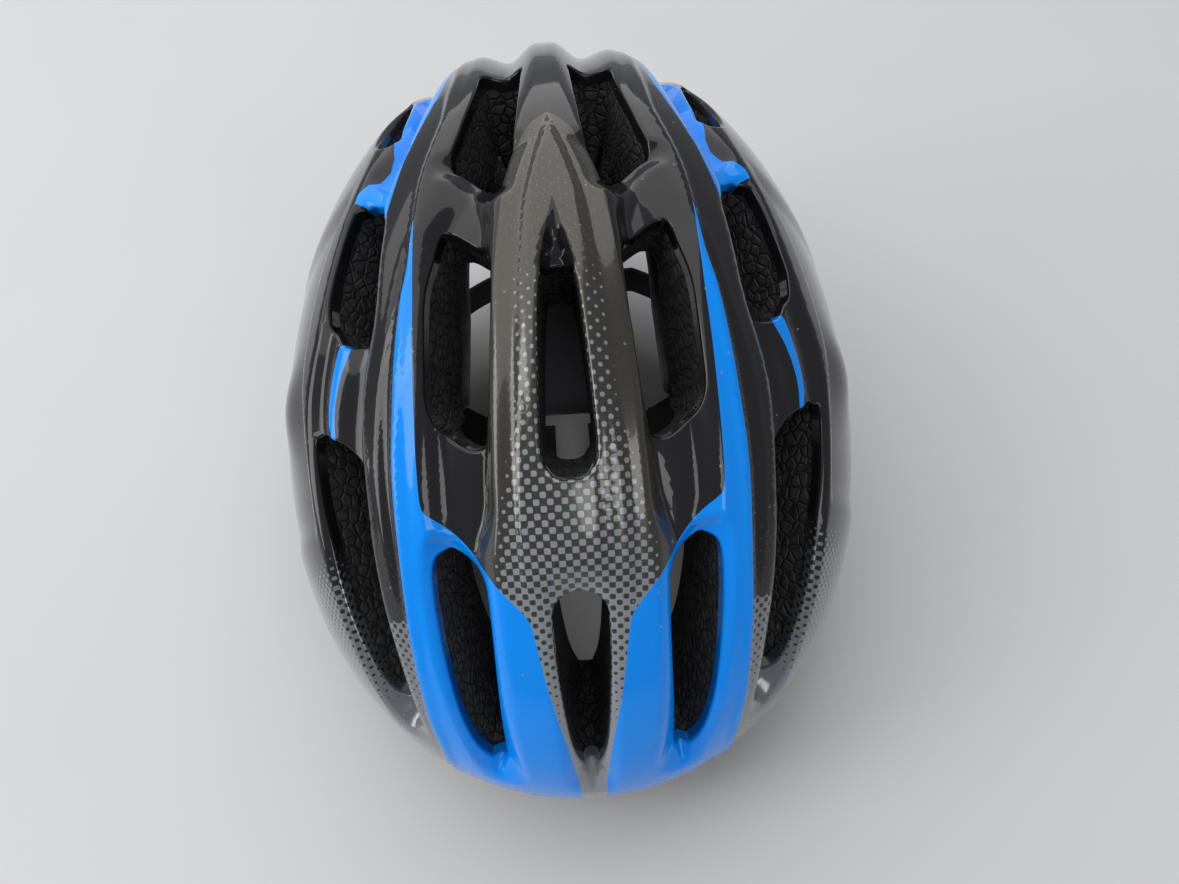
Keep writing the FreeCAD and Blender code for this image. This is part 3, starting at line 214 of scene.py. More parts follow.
def even(curve, spacing, closed):
    """Resample a polyline; a closed one repeats its first point at its end and loses it here."""
    steps = np.linalg.norm(np.diff(curve, axis=0), axis=1)
    reach = np.concatenate([[0], np.cumsum(steps)])
    count = max(4, int(round(reach[-1] / spacing)))
    stations = np.linspace(0, reach[-1], count + 1)
    result = np.stack([np.interp(stations, reach, curve[:, i]) for i in range(2)], -1)
    return result[:-1] if closed else result


def widened(outline, distance):
    """A closed outline moved outwards."""
    ahead, behind = np.roll(outline, -1, 0), np.roll(outline, 1, 0)
    tangent = unit(ahead - behind)
    area = np.sum(outline[:, 0] * ahead[:, 1] - ahead[:, 0] * outline[:, 1])
    normal = np.stack([tangent[:, 1], -tangent[:, 0]], -1) * np.sign(area)
    return outline + normal * distance


def mirrored(outline):
    """A closed outline of the left half, over on the right half."""
    return outline[::-1] * np.array([-1.0, 1.0])


def course(*points):
    """Smooth line through (along, across) points, as rows of (across, along)."""
    return rounded([(across, along) for along, across in points], COURSE_STEP, closed=False)


def ringed(outline, spacing):
    """A closed outline as an even line that ends where it starts."""
    return even(np.vstack([outline, outline[:1]]), spacing, False)


# ---------------------------------------------------------------- vents and painted zones

# Outlines on the wearer's left half of the flat pattern: (across, along).
CROWN_SLOT = [(0, -38), (3, -39), (4.5, -42), (5.5, -50), (6.5, -65), (7.5, -85), (6.5, -92),
              (3.5, -95), (0, -95.5)]
FRONT_SLOT = [(0, -128), (4, -129), (7, -131.5), (8, -135), (8.3, -143), (8.1, -153), (7.6, -164),
              (7, -176), (6.2, -188), (5.2, -197), (3.8, -206), (2, -213), (0, -215.5)]
VENTS = {
    "front": [(40, -112.8), (37.8, -114.4), (35, -117.2), (32, -120.7), (29, -123.5), (28, -128),
              (28.3, -138), (29, -150), (30.2, -163), (31.8, -176), (33.8, -190), (35.8, -204),
              (37.8, -209), (40.8, -208.5), (42.6, -203), (44, -194), (44.8, -184), (45.3, -173),
              (45.4, -162), (45.3, -150), (45.1, -139), (44.7, -128), (44, -119.3), (42.7, -114.6)],
    "crown": [(32.5, -20.5), (30, -21.5), (25, -26), (20.5, -30.5), (18.6, -34.5), (18.7, -40),
              (19.7, -55), (21.3, -70.8), (23.8, -82.5), (25.5, -85), (29, -84.7), (33, -82),
              (36.3, -78.5), (38.3, -74), (39, -68), (38.3, -55), (37.4, -40), (35.2, -28.5),
              (34, -23)],
    "rear_crown": [(8.6, 52), (8.8, 45), (9.3, 33), (9.8, 20), (10.3, 8), (12, 2), (14, -4.6),
                   (15.6, -10.5), (17.5, -9.5), (19.5, -7), (23.9, -2), (27.2, 0.8), (29.8, 2.4),
                   (29.2, 6.6), (27.2, 14.3), (25.6, 22.3), (23.8, 31.5), (22.6, 42), (21.6, 52),
                   (15, 54)],
    "side": [(62.5, 8.5), (66.6, 8.3), (68.5, 5), (70.8, -2), (72.6, -9), (74.6, -16), (76.3, -22),
             (77.3, -28), (77.4, -32), (75.3, -36.6), (72.6, -40.5), (69, -42), (64, -42.5),
             (58.5, -43.5), (56, -41), (54.6, -33), (53.2, -23), (52.2, -14), (52, -9), (55, -0.5),
             (58.5, 5)],
    "temple": [(86.5, -65.5), (81, -69.3), (77.8, -73), (74.8, -78.5), (71.5, -86), (67, -94),
               (64.2, -102), (64.3, -110), (64.6, -120), (65.3, -130), (66, -140), (67, -150),
               (68.3, -160), (70.5, -171), (74, -179.5), (77.5, -179), (80.6, -173), (82.4, -165),
               (84, -154), (85.6, -142), (86.7, -129), (87.2, -117), (87.5, -106), (88, -95),
               (88.2, -85), (88.2, -75), (87.8, -68)],
    "rear_side": [(60, 36), (55.5, 40), (54.5, 52), (54.5, 66), (56, 80), (59.5, 86), (63, 74),
                  (64.5, 56), (63.5, 42)],
    "rear_inner": [(10, 100), (9.5, 130), (11, 160), (16, 168), (21, 158), (22, 128), (20, 102),
                   (15, 95)],
    "rear_outer": [(38, 118), (36, 140), (37, 165), (43, 172), (50, 160), (52, 135), (49, 118),
                   (43, 112)],
    "rear_flank": [(75, 60), (70, 80), (66, 105), (68, 118), (76, 112), (84, 90), (87, 68),
                   (82, 56)],
}

# Hollows beside the vents: their outlines run along a vent's sharp edge on one side.
FRONT_RECESS = [(36, -109), (43.5, -106.5), (46.8, -114), (48, -130), (48.4, -150), (48.2, -170),
                (47.2, -190), (45.5, -204), (42, -214), (38.5, -217.5), (36, -212), (34.4, -204),
                (32.4, -190), (30.6, -176), (29, -163), (27.8, -150), (27.1, -140), (26.8, -130),
                (27, -124), (28.5, -119.5), (32, -114)]
SIDE_GROOVE = [(59, 7), (65, 12.4), (70, 7), (76, -13), (82, -32), (87, -46), (90, -60), (91, -80),
               (90.8, -110), (88.8, -145), (84, -178), (76, -191), (70, -185), (66.8, -160),
               (65.8, -141), (64.5, -125), (63.3, -110), (62.3, -95), (61.8, -82), (61, -68),
               (59.5, -57), (57.5, -48), (54.5, -38), (52, -23), (50.6, -9), (54, 0.5)]
REAR_CHANNEL = [(63.5, 18), (59, 29), (55, 41), (53, 55), (53, 80), (44, 80), (43, 55), (43, 45),
                (44, 29), (45.4, 14), (54, 10)]

# Long lines, through (along, across) points.
PLATEAU = course((-128, 17), (-110, 16.5), (-90, 15.5), (-70, 13.8), (-50, 12.2), (-35, 10.8),
                 (-20, 9.2), (-10, 7), (0, 4.5), (15, 0))
INNER_STRIP = course((-122, 8.4), (-93, 7.2))
CROWN_RIDGE = course((-120, 11.6), (-100, 11.2), (-85, 10.9), (-65, 10), (-45, 8.9), (-25, 7.2),
                     (-12, 5))
MAIN_CREASE = course((-240, 66), (-228, 65), (-217, 63), (-207, 61.2), (-191.5, 58.8), (-176, 58),
                     (-161, 56.5), (-140, 55), (-123, 53.5), (-109, 52.5), (-99, 52), (-86, 51),
                     (-71, 49), (-55, 46.9), (-40, 44.4), (-30, 41.9), (-15, 40), (0, 38), (20, 33),
                     (28, 32), (60, 31), (100, 30))
SECOND_CREASE = course((-110, 58), (-90, 57.5), (-75, 56), (-60, 53.5), (-45, 49), (-30, 45),
                       (-15, 40))
SIDE_CREASE = course((-100, 93), (-60, 92), (-35, 90), (-12, 84), (8, 76), (25, 66))
WARM_EDGE = course((-117, 31), (-108.5, 28.6), (-101, 26.6), (-93, 24.7), (-86.5, 23.4),
                   (-78.5, 21.8), (-66, 20.2), (-51, 18.1), (-40, 16.9), (-28, 15.5), (-18, 14.2),
                   (-8, 12.6), (1, 10.2), (6.5, 7.3), (11, 4.3), (15, 0))
BLUE_EDGE = course((-250, 5.3), (-225, 5.8), (-207, 6.9), (-191, 8), (-174, 10), (-160.5, 11.8),
                   (-149.5, 13), (-140.5, 14), (-135.5, 15), (-131.5, 17.5), (-125.5, 22.3),
                   (-121, 26.3), (-116.5, 30), (-111, 34), (-105.7, 38.6), (-101.5, 42), (-98, 43.6),
                   (-86, 43.3), (-71, 42.5), (-55, 41.7), (-40, 40.9), (-30, 40.4), (-15, 39.9))

# Course, where it starts and ends, and the share of its width that is level at mid-helmet.
FLUTES = {
    "middle": (course((-230, 0), (-120, 0)), -232, -118, 0),
    "inner": (course((-215, 36), (-160, 35), (-120, 33), (-85, 31), (-50, 29), (-20, 27), (0, 22),
                     (20, 18), (45, 15), (110, 15), (210, 15)), -222, 215, 0.45),
    "outer": (course((-190, 75), (-150, 73), (-110, 74), (-70, 72), (-40, 64), (-10, 63), (10, 58),
                     (30, 52), (60, 48), (120, 45), (210, 43)), -195, 215, 0),
}
FLUTE_HALF, FLUTE_FADE = 12.0, 18.0

CHEVRON = [(70.6, -40), (72.5, -44), (75, -48.4), (77.4, -53.6), (79.4, -59.2), (80.4, -64.2),
           (80.8, -69.5), (82, -69), (82.6, -63), (81.8, -57), (79.8, -50.4), (77.4, -44.6),
           (75, -39.5)]
# Wedge of the groove behind the crown slot, painted black: painted shade in the groove.
PAINTED_SCOOP_SHADE = [(0, -19), (1.6, -26), (4.4, -38), (5.6, -46), (-5.6, -46), (-4.4, -38), (-1.6, -26)]
REAR_STRIPE = [(42, 95), (38, 85), (35, 75), (35, 60), (36.5, 43), (39.4, 31), (43, 20), (46, 11),
               (47.8, 3.5), (50.2, -6), (51.2, -9.5), (54.5, -2), (60, 5.5), (64, 9), (67.5, 11.5),
               (66.5, 15), (62, 19), (58.5, 25), (57, 30), (56, 38), (55.3, 50), (55, 62), (54.5, 76),
               (50, 90)]

BLACK, BLUE, WARM, SIDE = range(4)
BROW = -250               # a station ahead of the skin's front edge
CREASE_SOFTNESS = 1.0     # half the width over which a crease turns
COARSE_STEP = 2.5         # spacing of the outlines that the relief is worked out from


def stretch(line, front, back):
    """The part of a course between two stations."""
    return line[(line[:, 1] >= front) & (line[:, 1] <= back)]


def zones():
    """Painted zones of the left half, foremost last: (outline, zone)."""
    blue = [BLUE_EDGE, stretch(MAIN_CREASE, BROW, -15)[::-1]]
    warm = [WARM_EDGE[::-1], stretch(BLUE_EDGE, BROW, -117)[::-1], [(0, BROW)]]
    side = [stretch(MAIN_CREASE, BROW, -109), [(130, -100), (190, -150), (190, BROW)]]
    # The last, black layer is painted shade in the groove behind the crown slot.
    layers = [(side, SIDE), (warm, WARM), ([REAR_STRIPE], BLUE), ([CHEVRON], BLUE), (blue, BLUE),
              ([PAINTED_SCOOP_SHADE], BLACK)]
    return [(np.vstack(runs).astype(float), zone) for runs, zone in layers]


def whole(outline):
    """Outline of a vent on the middle line from its left half."""
    return outline + [(-u, v) for u, v in outline[-2:0:-1]]


def vent_outlines(spacing):
    """Smooth outlines of every vent, both sides."""
    outlines = [rounded(whole(CROWN_SLOT), spacing), rounded(whole(FRONT_SLOT), spacing)]
    for points in VENTS.values():
        outline = rounded(points, spacing)
        outlines += [outline, mirrored(outline)]
    return outlines


COARSE = {name: rounded(points, COARSE_STEP) for name, points in {
    "front_recess": FRONT_RECESS, "side_groove": SIDE_GROOVE, "rear_channel": REAR_CHANNEL,
    "rear_crown": VENTS["rear_crown"]}.items()}


# ---------------------------------------------------------------- relief of the skin

RECESS_SHOULDER = 4.6       # width over which a hollow's rim rounds over
CHANNEL_SHOULDER = 3        # the same for the rear channel
STRIP_STEP, STRIP_SLOPE = 0.7, 1.5
RIDGE_STEP, RIDGE_SLOPE = 0.5, 1.2
PLATEAU_SLOPE = 2.6
SCOOP_DEPTH, SCOOP_SLOPE = 6, 1.3
TAIL_DEPTH, TAIL_SLOPE = 3, 2.0
SIDE_SHARE = 0.9            # depth of the side groove, as a share of the front hollow's
CHANNEL_SINK = 3.2
REAR_VENT_SINK, REAR_VENT_REACH = 3, 7
MAIN_SLOPES = (4, 1.3)      # width of the main crease's fall towards the middle and outwards
VALLEY_DEPTH, SECOND_SHARE, SECOND_SLOPE = 0.5, 0.3, 3.0
SIDE_STEP, SIDE_SLOPE = 1.2, 1.6
WARM_GROOVE, WARM_SLOPE = 0.8, 1.6
EAR_ACROSS, EAR_ALONG = 106, -45
EAR_WIDTH, EAR_LENGTH = 12, 16

# Stations at which each feature starts, is full, starts to fade and ends.
LEVEL_RUN = (-118, -100, -25, -10)
INNER_RUN = (-125, -116, -93, -88)
RIDGE_RUN = (-122, -108, -24, -12)
GROOVE_RUN = (-114, -106, -86, -78)
SCOOP_RUN = (-60, -50, -40, -20)
TAIL_RUN = (-240, -208, -200, -186)
VALLEY_RUN = (-130, -105, -24, -14)
CREASE_RUN = (-240, -200, 60, 100)
SIDE_RUN = (-102, -90, 10, 25)
STRIP_FRONT = (-134, -118)                        # where the crown strip starts and is full
SCOOP_SHAPE = ((-38, -20), (4.4, 0))              # stations and half widths of the two grooves
TAIL_SHAPE = ((-238, -216, -198), (0.5, 3, 4))


def shoulder(t):
    """Rounded fall from a crisp rim: 0 at 0, steeper and steeper, then level from 1 on."""
    t = np.clip(t, 0, 1)
    return t ** 1.6 * (1.9 - 0.9 * t)


def flutes(across, v):
    """Share of the flutes' depth at each place."""
    depth = np.zeros(np.shape(v))
    for line, front, back, level in FLUTES.values():
        offset = np.abs(across - follow(v, line)) / FLUTE_HALF
        ends = span(v, front, front + FLUTE_FADE, back - FLUTE_FADE, back)
        level = level * span(v, *LEVEL_RUN)
        depth = np.maximum(depth, ends * ease(1 - offset, 0, 1 - level))
    return depth


def strip_relief(a, v):
    """Raised strip along the crown, with its two inner steps and its edges' fine groove."""
    h = bpy.context.scene.helmet_skin.plateau_height / MM * ease(v, *STRIP_FRONT) * ease(
        follow(v, PLATEAU) - a, 0, PLATEAU_SLOPE)
    h += STRIP_STEP * ease(follow(v, INNER_STRIP) - a, 0, STRIP_SLOPE) * span(v, *INNER_RUN)
    h += RIDGE_STEP * ease(follow(v, CROWN_RIDGE) - a, 0, RIDGE_SLOPE) * span(v, *RIDGE_RUN)
    groove = tent(a - follow(v, WARM_EDGE), WARM_SLOPE, WARM_SLOPE) * span(v, *GROOVE_RUN)
    return h - WARM_GROOVE * groove


def hollow_relief(a, v):
    """Grooves behind and ahead of the slots, and the hollows beside the vents."""
    deep = bpy.context.scene.helmet_skin.recess_depth / MM
    h = -SCOOP_DEPTH * ease(np.interp(v, *SCOOP_SHAPE) - a, 0, SCOOP_SLOPE) * span(v, *SCOOP_RUN)
    h -= TAIL_DEPTH * ease(np.interp(v, *TAIL_SHAPE) - a, 0, TAIL_SLOPE) * span(v, *TAIL_RUN)
    inside = {name: signed_distance(a, v, outline) for name, outline in COARSE.items()}
    h -= deep * shoulder(inside["front_recess"] / RECESS_SHOULDER)
    h -= SIDE_SHARE * deep * shoulder(inside["side_groove"] / RECESS_SHOULDER)
    h -= CHANNEL_SINK * ease(inside["rear_channel"], 0, CHANNEL_SHOULDER)
    return h - REAR_VENT_SINK * ease(inside["rear_crown"], -REAR_VENT_REACH, 0) * ease(-v, -8, -2)


def crease_relief(a, v):
    """Sharp creases along the ribs, with the valley between the two upper ones."""
    crease = bpy.context.scene.helmet_skin.crease_height / MM
    main, second = follow(v, MAIN_CREASE), follow(v, SECOND_CREASE)
    between = np.clip((a - main) / np.maximum(second - main, 0.5), 0, 1)
    forward = span(v, *VALLEY_RUN)
    h = crease * tent(a - main, *MAIN_SLOPES) * span(v, *CREASE_RUN)
    h -= VALLEY_DEPTH * np.sin(np.pi * between) ** 2 * forward * ease(second - main, 1, 5)
    h += SECOND_SHARE * crease * tent(a - second, SECOND_SLOPE, SECOND_SLOPE) * forward
    return h - SIDE_STEP * ease(a - follow(v, SIDE_CREASE), 0, SIDE_SLOPE) * span(v, *SIDE_RUN)


def relief(u, v):
    """Height of the skin over the smooth dome."""
    size = bpy.context.scene.helmet_skin
    a = np.abs(u)
    ear = ((a - EAR_ACROSS) / EAR_WIDTH) ** 2 + ((v - EAR_ALONG) / EAR_LENGTH) ** 2
    return (strip_relief(a, v) + hollow_relief(a, v) + crease_relief(a, v)
            - size.flute_depth / MM * flutes(a, v) + size.ear_flare / MM * np.exp(-ear))


def skin(u, v):
    """Points of the outer skin."""
    return dome(u, v) + outward(dome, u, v) * relief(u, v)[:, None]


def rim_height(y):
    """Height of the rim: a natural cubic curve through its points, never below the floor."""
    x, z = np.array(RIM, float).T
    step = np.diff(x)
    rate = np.diff(z) / step
    system = np.diag(np.r_[1, 2 * (step[:-1] + step[1:]), 1])
    for i in range(1, len(x) - 1):
        system[i, i - 1], system[i, i + 1] = step[i - 1], step[i]
    bend = np.linalg.solve(system, np.r_[0, 6 * np.diff(rate), 0])
    i = np.clip(np.searchsorted(x, y) - 1, 0, len(step) - 1)
    t, w = y - x[i], step[i]
    slope = rate[i] - w * (2 * bend[i] + bend[i + 1]) / 6
    height = z[i] + t * (slope + t * (bend[i] / 2 + t * (bend[i + 1] - bend[i]) / (6 * w)))
    return np.maximum(height, 0)


TURNS = np.linspace(-np.pi, np.pi, 1441)
NEAREST, FARTHEST, HALVINGS = 0.8, 2.4, 26     # angles from the crown that hold every level line


def level_line(lift):
    """Angle from the crown, all round, at which the skin is lift above the rim."""
    near, far = np.full(TURNS.shape, NEAREST), np.full(TURNS.shape, FARTHEST)
    for _ in range(HALVINGS):
        middle = (near + far) / 2
        p = skin(HALF_WIDTH * middle * np.cos(TURNS), HALF_LENGTH * middle * np.sin(TURNS))
        above = p[:, 2] > rim_height(p[:, 1]) + lift
        near, far = np.where(above, middle, near), np.where(above, far, middle)
    return near


def level_outline(angles, spacing):
    """The same line as an outline of the flat pattern."""
    outline = np.stack([HALF_WIDTH * angles * np.cos(TURNS), HALF_LENGTH * angles * np.sin(TURNS)], -1)
    return even(outline, spacing, True)


def angle_of(u, v):
    """Angle from the crown and turn about it."""
    a, b = u / HALF_WIDTH, v / HALF_LENGTH
    return np.hypot(a, b), np.arctan2(b, a)


# ---------------------------------------------------------------- flat sheets

ROW_SHARE = 0.93          # rows lie this share of the spacing apart
CLEAR_SHARE = 0.62        # free points keep this share of the spacing from every line
MERGE = 1e-4              # points closer than this become one


def lattice(spacing, reach_u=230.0, reach_v=300.0):
    """Staggered rows of points over the flat pattern, mirrored about the middle line."""
    rows = []
    for row, v in enumerate(np.arange(-reach_v, reach_v, spacing * ROW_SHARE)):
        across = np.arange(0, reach_u, spacing) + (row % 2) * spacing / 2
        full = np.r_[-across[::-1], across]
        rows.append(np.stack([full, np.full(full.shape, v)], -1))
    return np.unique(np.vstack(rows).round(6), axis=0)


def flat_sheet(spacing, outer, inner, holes, lines):
    """Triangles of the flat pattern between two level lines, less the holes, that keep to the lines.

    outer and inner are angles from the crown all round; inner may be None.
    """
    closed = [level_outline(outer, spacing)] + list(holes)
    if inner is not None:
        closed.append(level_outline(inner, spacing))
    points, edges = [], []
    for outline in closed:
        first = len(points)
        points += outline.tolist()
        edges += [(first + i, first + (i + 1) % len(outline)) for i in range(len(outline))]
    for line in lines:
        first = len(points)
        points += line.tolist()
        edges += [(first + i, first + i + 1) for i in range(len(line) - 1)]
    middles = [[(points[i][axis] + points[j][axis]) / 2 for axis in (0, 1)] for i, j in edges]
    tree = KDTree(len(points) + len(middles))
    for i, (u, v) in enumerate(points + middles):
        tree.insert((u, v, 0), i)
    tree.balance()
    grid = lattice(spacing)
    angle, turn = angle_of(grid[:, 0], grid[:, 1])
    grid = grid[(angle < np.interp(turn, TURNS, outer))
                & (angle > (0 if inner is None else np.interp(turn, TURNS, inner)))]
    free = [p for p in grid.tolist() if tree.find((p[0], p[1], 0))[2] > spacing * CLEAR_SHARE]
    points += free
    made = delaunay_2d_cdt([Vector(p) for p in points], edges, [], 0, MERGE)
    flat = np.array([tuple(p) for p in made[0]])
    faces = np.array(made[2])
    middle = flat[faces].mean(1)
    angle, turn = angle_of(middle[:, 0], middle[:, 1])
    keep = angle < np.interp(turn, TURNS, outer)
    if inner is not None:
        keep &= angle > np.interp(turn, TURNS, inner)
    for hole in holes:
        keep &= signed_distance(middle[:, 0], middle[:, 1], hole, NEAR) < 0
    return flat, faces[keep]


def sheet_bmesh(flat, faces, place, facing):
    """A bmesh of the lifted sheet; its vertices know their place on the pattern and their facing."""
    bm = bmesh.new()
    pattern = bm.verts.layers.float_vector.new("pattern")
    toward = bm.verts.layers.float_vector.new("facing")
    used = np.zeros(len(flat), bool)
    used[faces] = True
    verts = {}
    for i in np.nonzero(used)[0]:
        vert = bm.verts.new(place[i])
        vert[pattern] = (flat[i][0], flat[i][1], 0)
        vert[toward] = facing[i]
        verts[i] = vert
    for triangle in faces:
        bm.faces.new([verts[i] for i in triangle])
    return bm


def paint(bm):
    """Give each face the zone that its middle lies in."""
    pattern = bm.verts.layers.float_vector["pattern"]
    middle = np.array([sum((vert[pattern] for vert in face.verts), Vector()) / 3 for face in bm.faces])
    a, v = np.abs(middle[:, 0]), middle[:, 1]
    zone = np.full(len(a), BLACK)
    for outline, kind in zones():
        zone[signed_distance(a, v, outline, NEAR) > 0] = kind
    for face, kind in zip(bm.faces, zone):
        face.material_index = int(kind)


def edge_loops(bm):
    """Open edges of a sheet, one list for each loop."""
    open_edges = {edge for edge in bm.edges if edge.is_boundary}
    loops = []
    while open_edges:
        edge = open_edges.pop()
        loop, ends = [edge], list(edge.verts)
        while ends:
            for other in ends.pop().link_edges:
                if other in open_edges:
                    open_edges.remove(other)
                    loop.append(other)
                    ends += other.verts
        loops.append(loop)
    return loops


def away(loop, pattern):
    """For each vertex of an open edge loop, the way out of the sheet: in space and on the pattern."""
    space, flat = {}, {}
    for edge in loop:
        face = edge.link_faces[0]
        first, second = edge.verts
        inner = next(vert for vert in face.verts if vert not in edge.verts)
        out = (second.co - first.co).cross(face.normal).normalized()
        if out.dot(inner.co - first.co) > 0:
            out.negate()
        along = second[pattern] - first[pattern]
        aside = Vector((along.y, -along.x, 0)).normalized()
        if aside.dot(inner[pattern] - first[pattern]) > 0:
            aside.negate()
        for vert in edge.verts:
            space[vert] = space.get(vert, Vector()) + out
            flat[vert] = flat.get(vert, Vector()) + aside
    return {vert: (space[vert].normalized(), flat[vert].normalized()) for vert in space}


ROLL_STEPS = 3
WALL_SHARES = (0.25, 1.0)     # where a wall's two rows of points lie, as shares of its depth


def turn_edge(bm, loop, radius, wall, tuck, toward_centre=True):
    """Roll a sheet's open edge over a radius, down a wall and, where tuck isn't 0, back under."""
    pattern = bm.verts.layers.float_vector["pattern"]
    toward = bm.verts.layers.float_vector["facing"]
    base = {vert: (vert.co.copy(), vert[toward].copy(), *out)
            for vert, out in away(loop, pattern).items()}
    origin = {vert: vert for vert in base}
    centre = Vector(CENTRE)
    quarter = math.pi / 2
    profile = [(radius * math.sin(t), radius * (1 - math.cos(t)), 0.0, t)
               for t in (quarter * (i + 1) / ROLL_STEPS for i in range(ROLL_STEPS))]
    profile += [(radius, radius, wall * share, quarter) for share in WALL_SHARES]
    if tuck:
        profile.append((radius - tuck, radius, wall, math.pi))
    for aside, down, depth, turn in profile:
        made = bmesh.ops.extrude_edge_only(bm, edges=loop)["geom"]
        fresh = [item for item in made if isinstance(item, bmesh.types.BMVert)]
        next_origin = {}
        for vert in fresh:
            before = next(edge.other_vert(vert) for edge in vert.link_edges
                          if edge.other_vert(vert) in origin)
            source = origin[before]
            place, normal, away_from, aside_flat = base[source]
            ray = (centre - place).normalized() if toward_centre else -normal
            vert.co = place + away_from * aside - normal * down + ray * depth
            spot = source[pattern] + aside_flat * (aside + down + depth)
            vert[pattern] = (spot.x, spot.y, down + depth)
            vert[toward] = (normal * math.cos(turn) + away_from * math.sin(turn)).normalized()
            next_origin[vert] = source
        origin = next_origin
        rim = set(origin)
        loop = [item for item in made if isinstance(item, bmesh.types.BMEdge)
                and item.verts[0] in rim and item.verts[1] in rim]


def finish(bm, name, materials, scale=MM):
    """Turn a bmesh in millimetres into an object in metres, with its own normals where it has them."""
    bmesh.ops.scale(bm, vec=(scale,) * 3, verts=bm.verts)
    mesh = bpy.data.meshes.new(name)
    bm.to_mesh(mesh)
    bm.free()
    for material in materials:
        mesh.materials.append(material)
    mesh.polygons.foreach_set("use_smooth", [True] * len(mesh.polygons))
    toward = mesh.attributes.get("facing")
    if toward:
        normals = np.zeros(len(mesh.vertices) * 3, np.float32)
        toward.data.foreach_get("vector", normals)
        mesh.attributes.remove(toward)
        mesh.normals_split_custom_set_from_vertices(normals.reshape(-1, 3).tolist())
    thing = bpy.data.objects.new(name, mesh)
    bpy.context.scene.collection.objects.link(thing)
    return thing


def dress(thing, node, body):
    """Hand a finished piece to the frame: hang it on its body and hide the node it stands for."""
    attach(thing, body)
    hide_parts(node)


# ---------------------------------------------------------------- shader arithmetic

class Value:
    """A shader socket that takes part in plain arithmetic."""

    def __init__(self, tree, socket):
        self.tree, self.socket = tree, socket

    def maths(self, operation, *others):
        made = self.tree.nodes.new("ShaderNodeMath")
        made.operation = operation
        for slot, item in zip(made.inputs, others):
            if isinstance(item, Value):
                self.tree.links.new(item.socket, slot)
            else:
                slot.default_value = item
        return Value(self.tree, made.outputs[0])

    def __add__(self, other):
        return self.maths("ADD", self, other)

    def __radd__(self, other):
        return self.maths("ADD", other, self)

    def __sub__(self, other):
        return self.maths("SUBTRACT", self, other)

    def __rsub__(self, other):
        return self.maths("SUBTRACT", other, self)

    def __mul__(self, other):
        return self.maths("MULTIPLY", self, other)

    def __truediv__(self, other):
        return self.maths("DIVIDE", self, other)

    def above(self, limit, soft=0.1):
        """0 below a limit, 1 above it, over a soft edge."""
        return ((self - limit) / soft + 0.5).clamped()

    def positive(self):
        return self.maths("MAXIMUM", self, 0.0)

    def clamped(self):
        return self.maths("MINIMUM", self, 1.0).positive()

    def cosine(self):
        return self.maths("COSINE", self)

    def size(self):
        return self.maths("ABSOLUTE", self)


class Finish:
    """A material under construction."""

    def __init__(self, name):
        self.material = bpy.data.materials.new(name)
        self.material.use_nodes = True
        self.tree = self.material.node_tree
        self.tree.nodes.clear()

    def node(self, kind, settings=None, inputs=None, output=0):
        """Add a node: its settings first, then the values or links of its sockets."""
        made = self.tree.nodes.new(kind)
        for name, value in (settings or {}).items():
            if name == "stops":
                self.ramp(made.color_ramp, value)
            else:
                setattr(made, name, value)
        for name, value in (inputs or {}).items():
            if isinstance(value, Value):
                self.tree.links.new(value.socket, made.inputs[name])
            else:
                made.inputs[name].default_value = value
        return Value(self.tree, made.outputs[output]) if made.outputs else None

    @staticmethod
    def ramp(ramp, stops):
        while len(ramp.elements) < len(stops):
            ramp.elements.new(0.5)
        for element, (position, shade) in zip(ramp.elements, stops):
            element.position = position
            element.color = (shade, shade, shade, 1)

    def place(self):
        """Object coordinates."""
        return self.node("ShaderNodeTexCoord", output="Object")

    def pattern(self):
        """Across and along on the flat pattern, in millimetres."""
        vector = self.node("ShaderNodeAttribute", {"attribute_name": "pattern"}, output="Vector")
        split = self.node("ShaderNodeSeparateXYZ", inputs={"Vector": vector})
        return [Value(self.tree, socket) for socket in split.socket.node.outputs[:2]]

    def noise(self, scale, detail=2.0, where=None):
        return self.node("ShaderNodeTexNoise", inputs={
            "Vector": where or self.place(), "Scale": scale, "Detail": detail})

    def cells(self, scale, feature="F1", output="Distance"):
        return self.node("ShaderNodeTexVoronoi", {"feature": feature},
                         {"Vector": self.place(), "Scale": scale}, output)

    def mix(self, share, first, second):
        """Colours mixed by a share."""
        made = self.tree.nodes.new("ShaderNodeMix")
        made.data_type = "RGBA"
        for slot, item in zip((made.inputs[0], made.inputs[6], made.inputs[7]),
                              (share, first, second)):
            if isinstance(item, Value):
                self.tree.links.new(item.socket, slot)
            else:
                slot.default_value = item if isinstance(item, float) else (*item, 1)
        return Value(self.tree, made.outputs[2])

    def bump(self, height, distance, strength=1.0):
        """Normal from a height; distance in metres."""
        return self.node("ShaderNodeBump", inputs={"Height": height, "Distance": distance,
                                                   "Strength": strength})

    def close(self, **sockets):
        """Principled surface; names give spaces as underscores."""
        named = {name.replace("_", " "): value for name, value in sockets.items()}
        surface = self.node("ShaderNodeBsdfPrincipled", inputs=named)
        self.node("ShaderNodeOutputMaterial", inputs={"Surface": surface})
        return self.material


# ---------------------------------------------------------------- finishes

DUST_SCALE, DUST_SHARE, DUST_SIZE, DUST_GREY = 420, 0.05, 0.16, (0.30, 0.30, 0.30)
HAZE_SCALE, SCRATCH_SCALE, SCRATCH_STRETCH, RIPPLE_SCALE = 38, 900, (1, 0.12, 1), 160
RIPPLE_HEIGHT = 0.00004


def specks(f):
    """Scattered dust specks: 1 in each speck."""
    spot = f.cells(DUST_SCALE)
    lot = f.node("ShaderNodeSeparateColor", inputs={"Color": f.cells(DUST_SCALE, output="Color")})
    return (DUST_SIZE - spot).above(0, 0.06) * lot.above(1 - DUST_SHARE, 0.01)


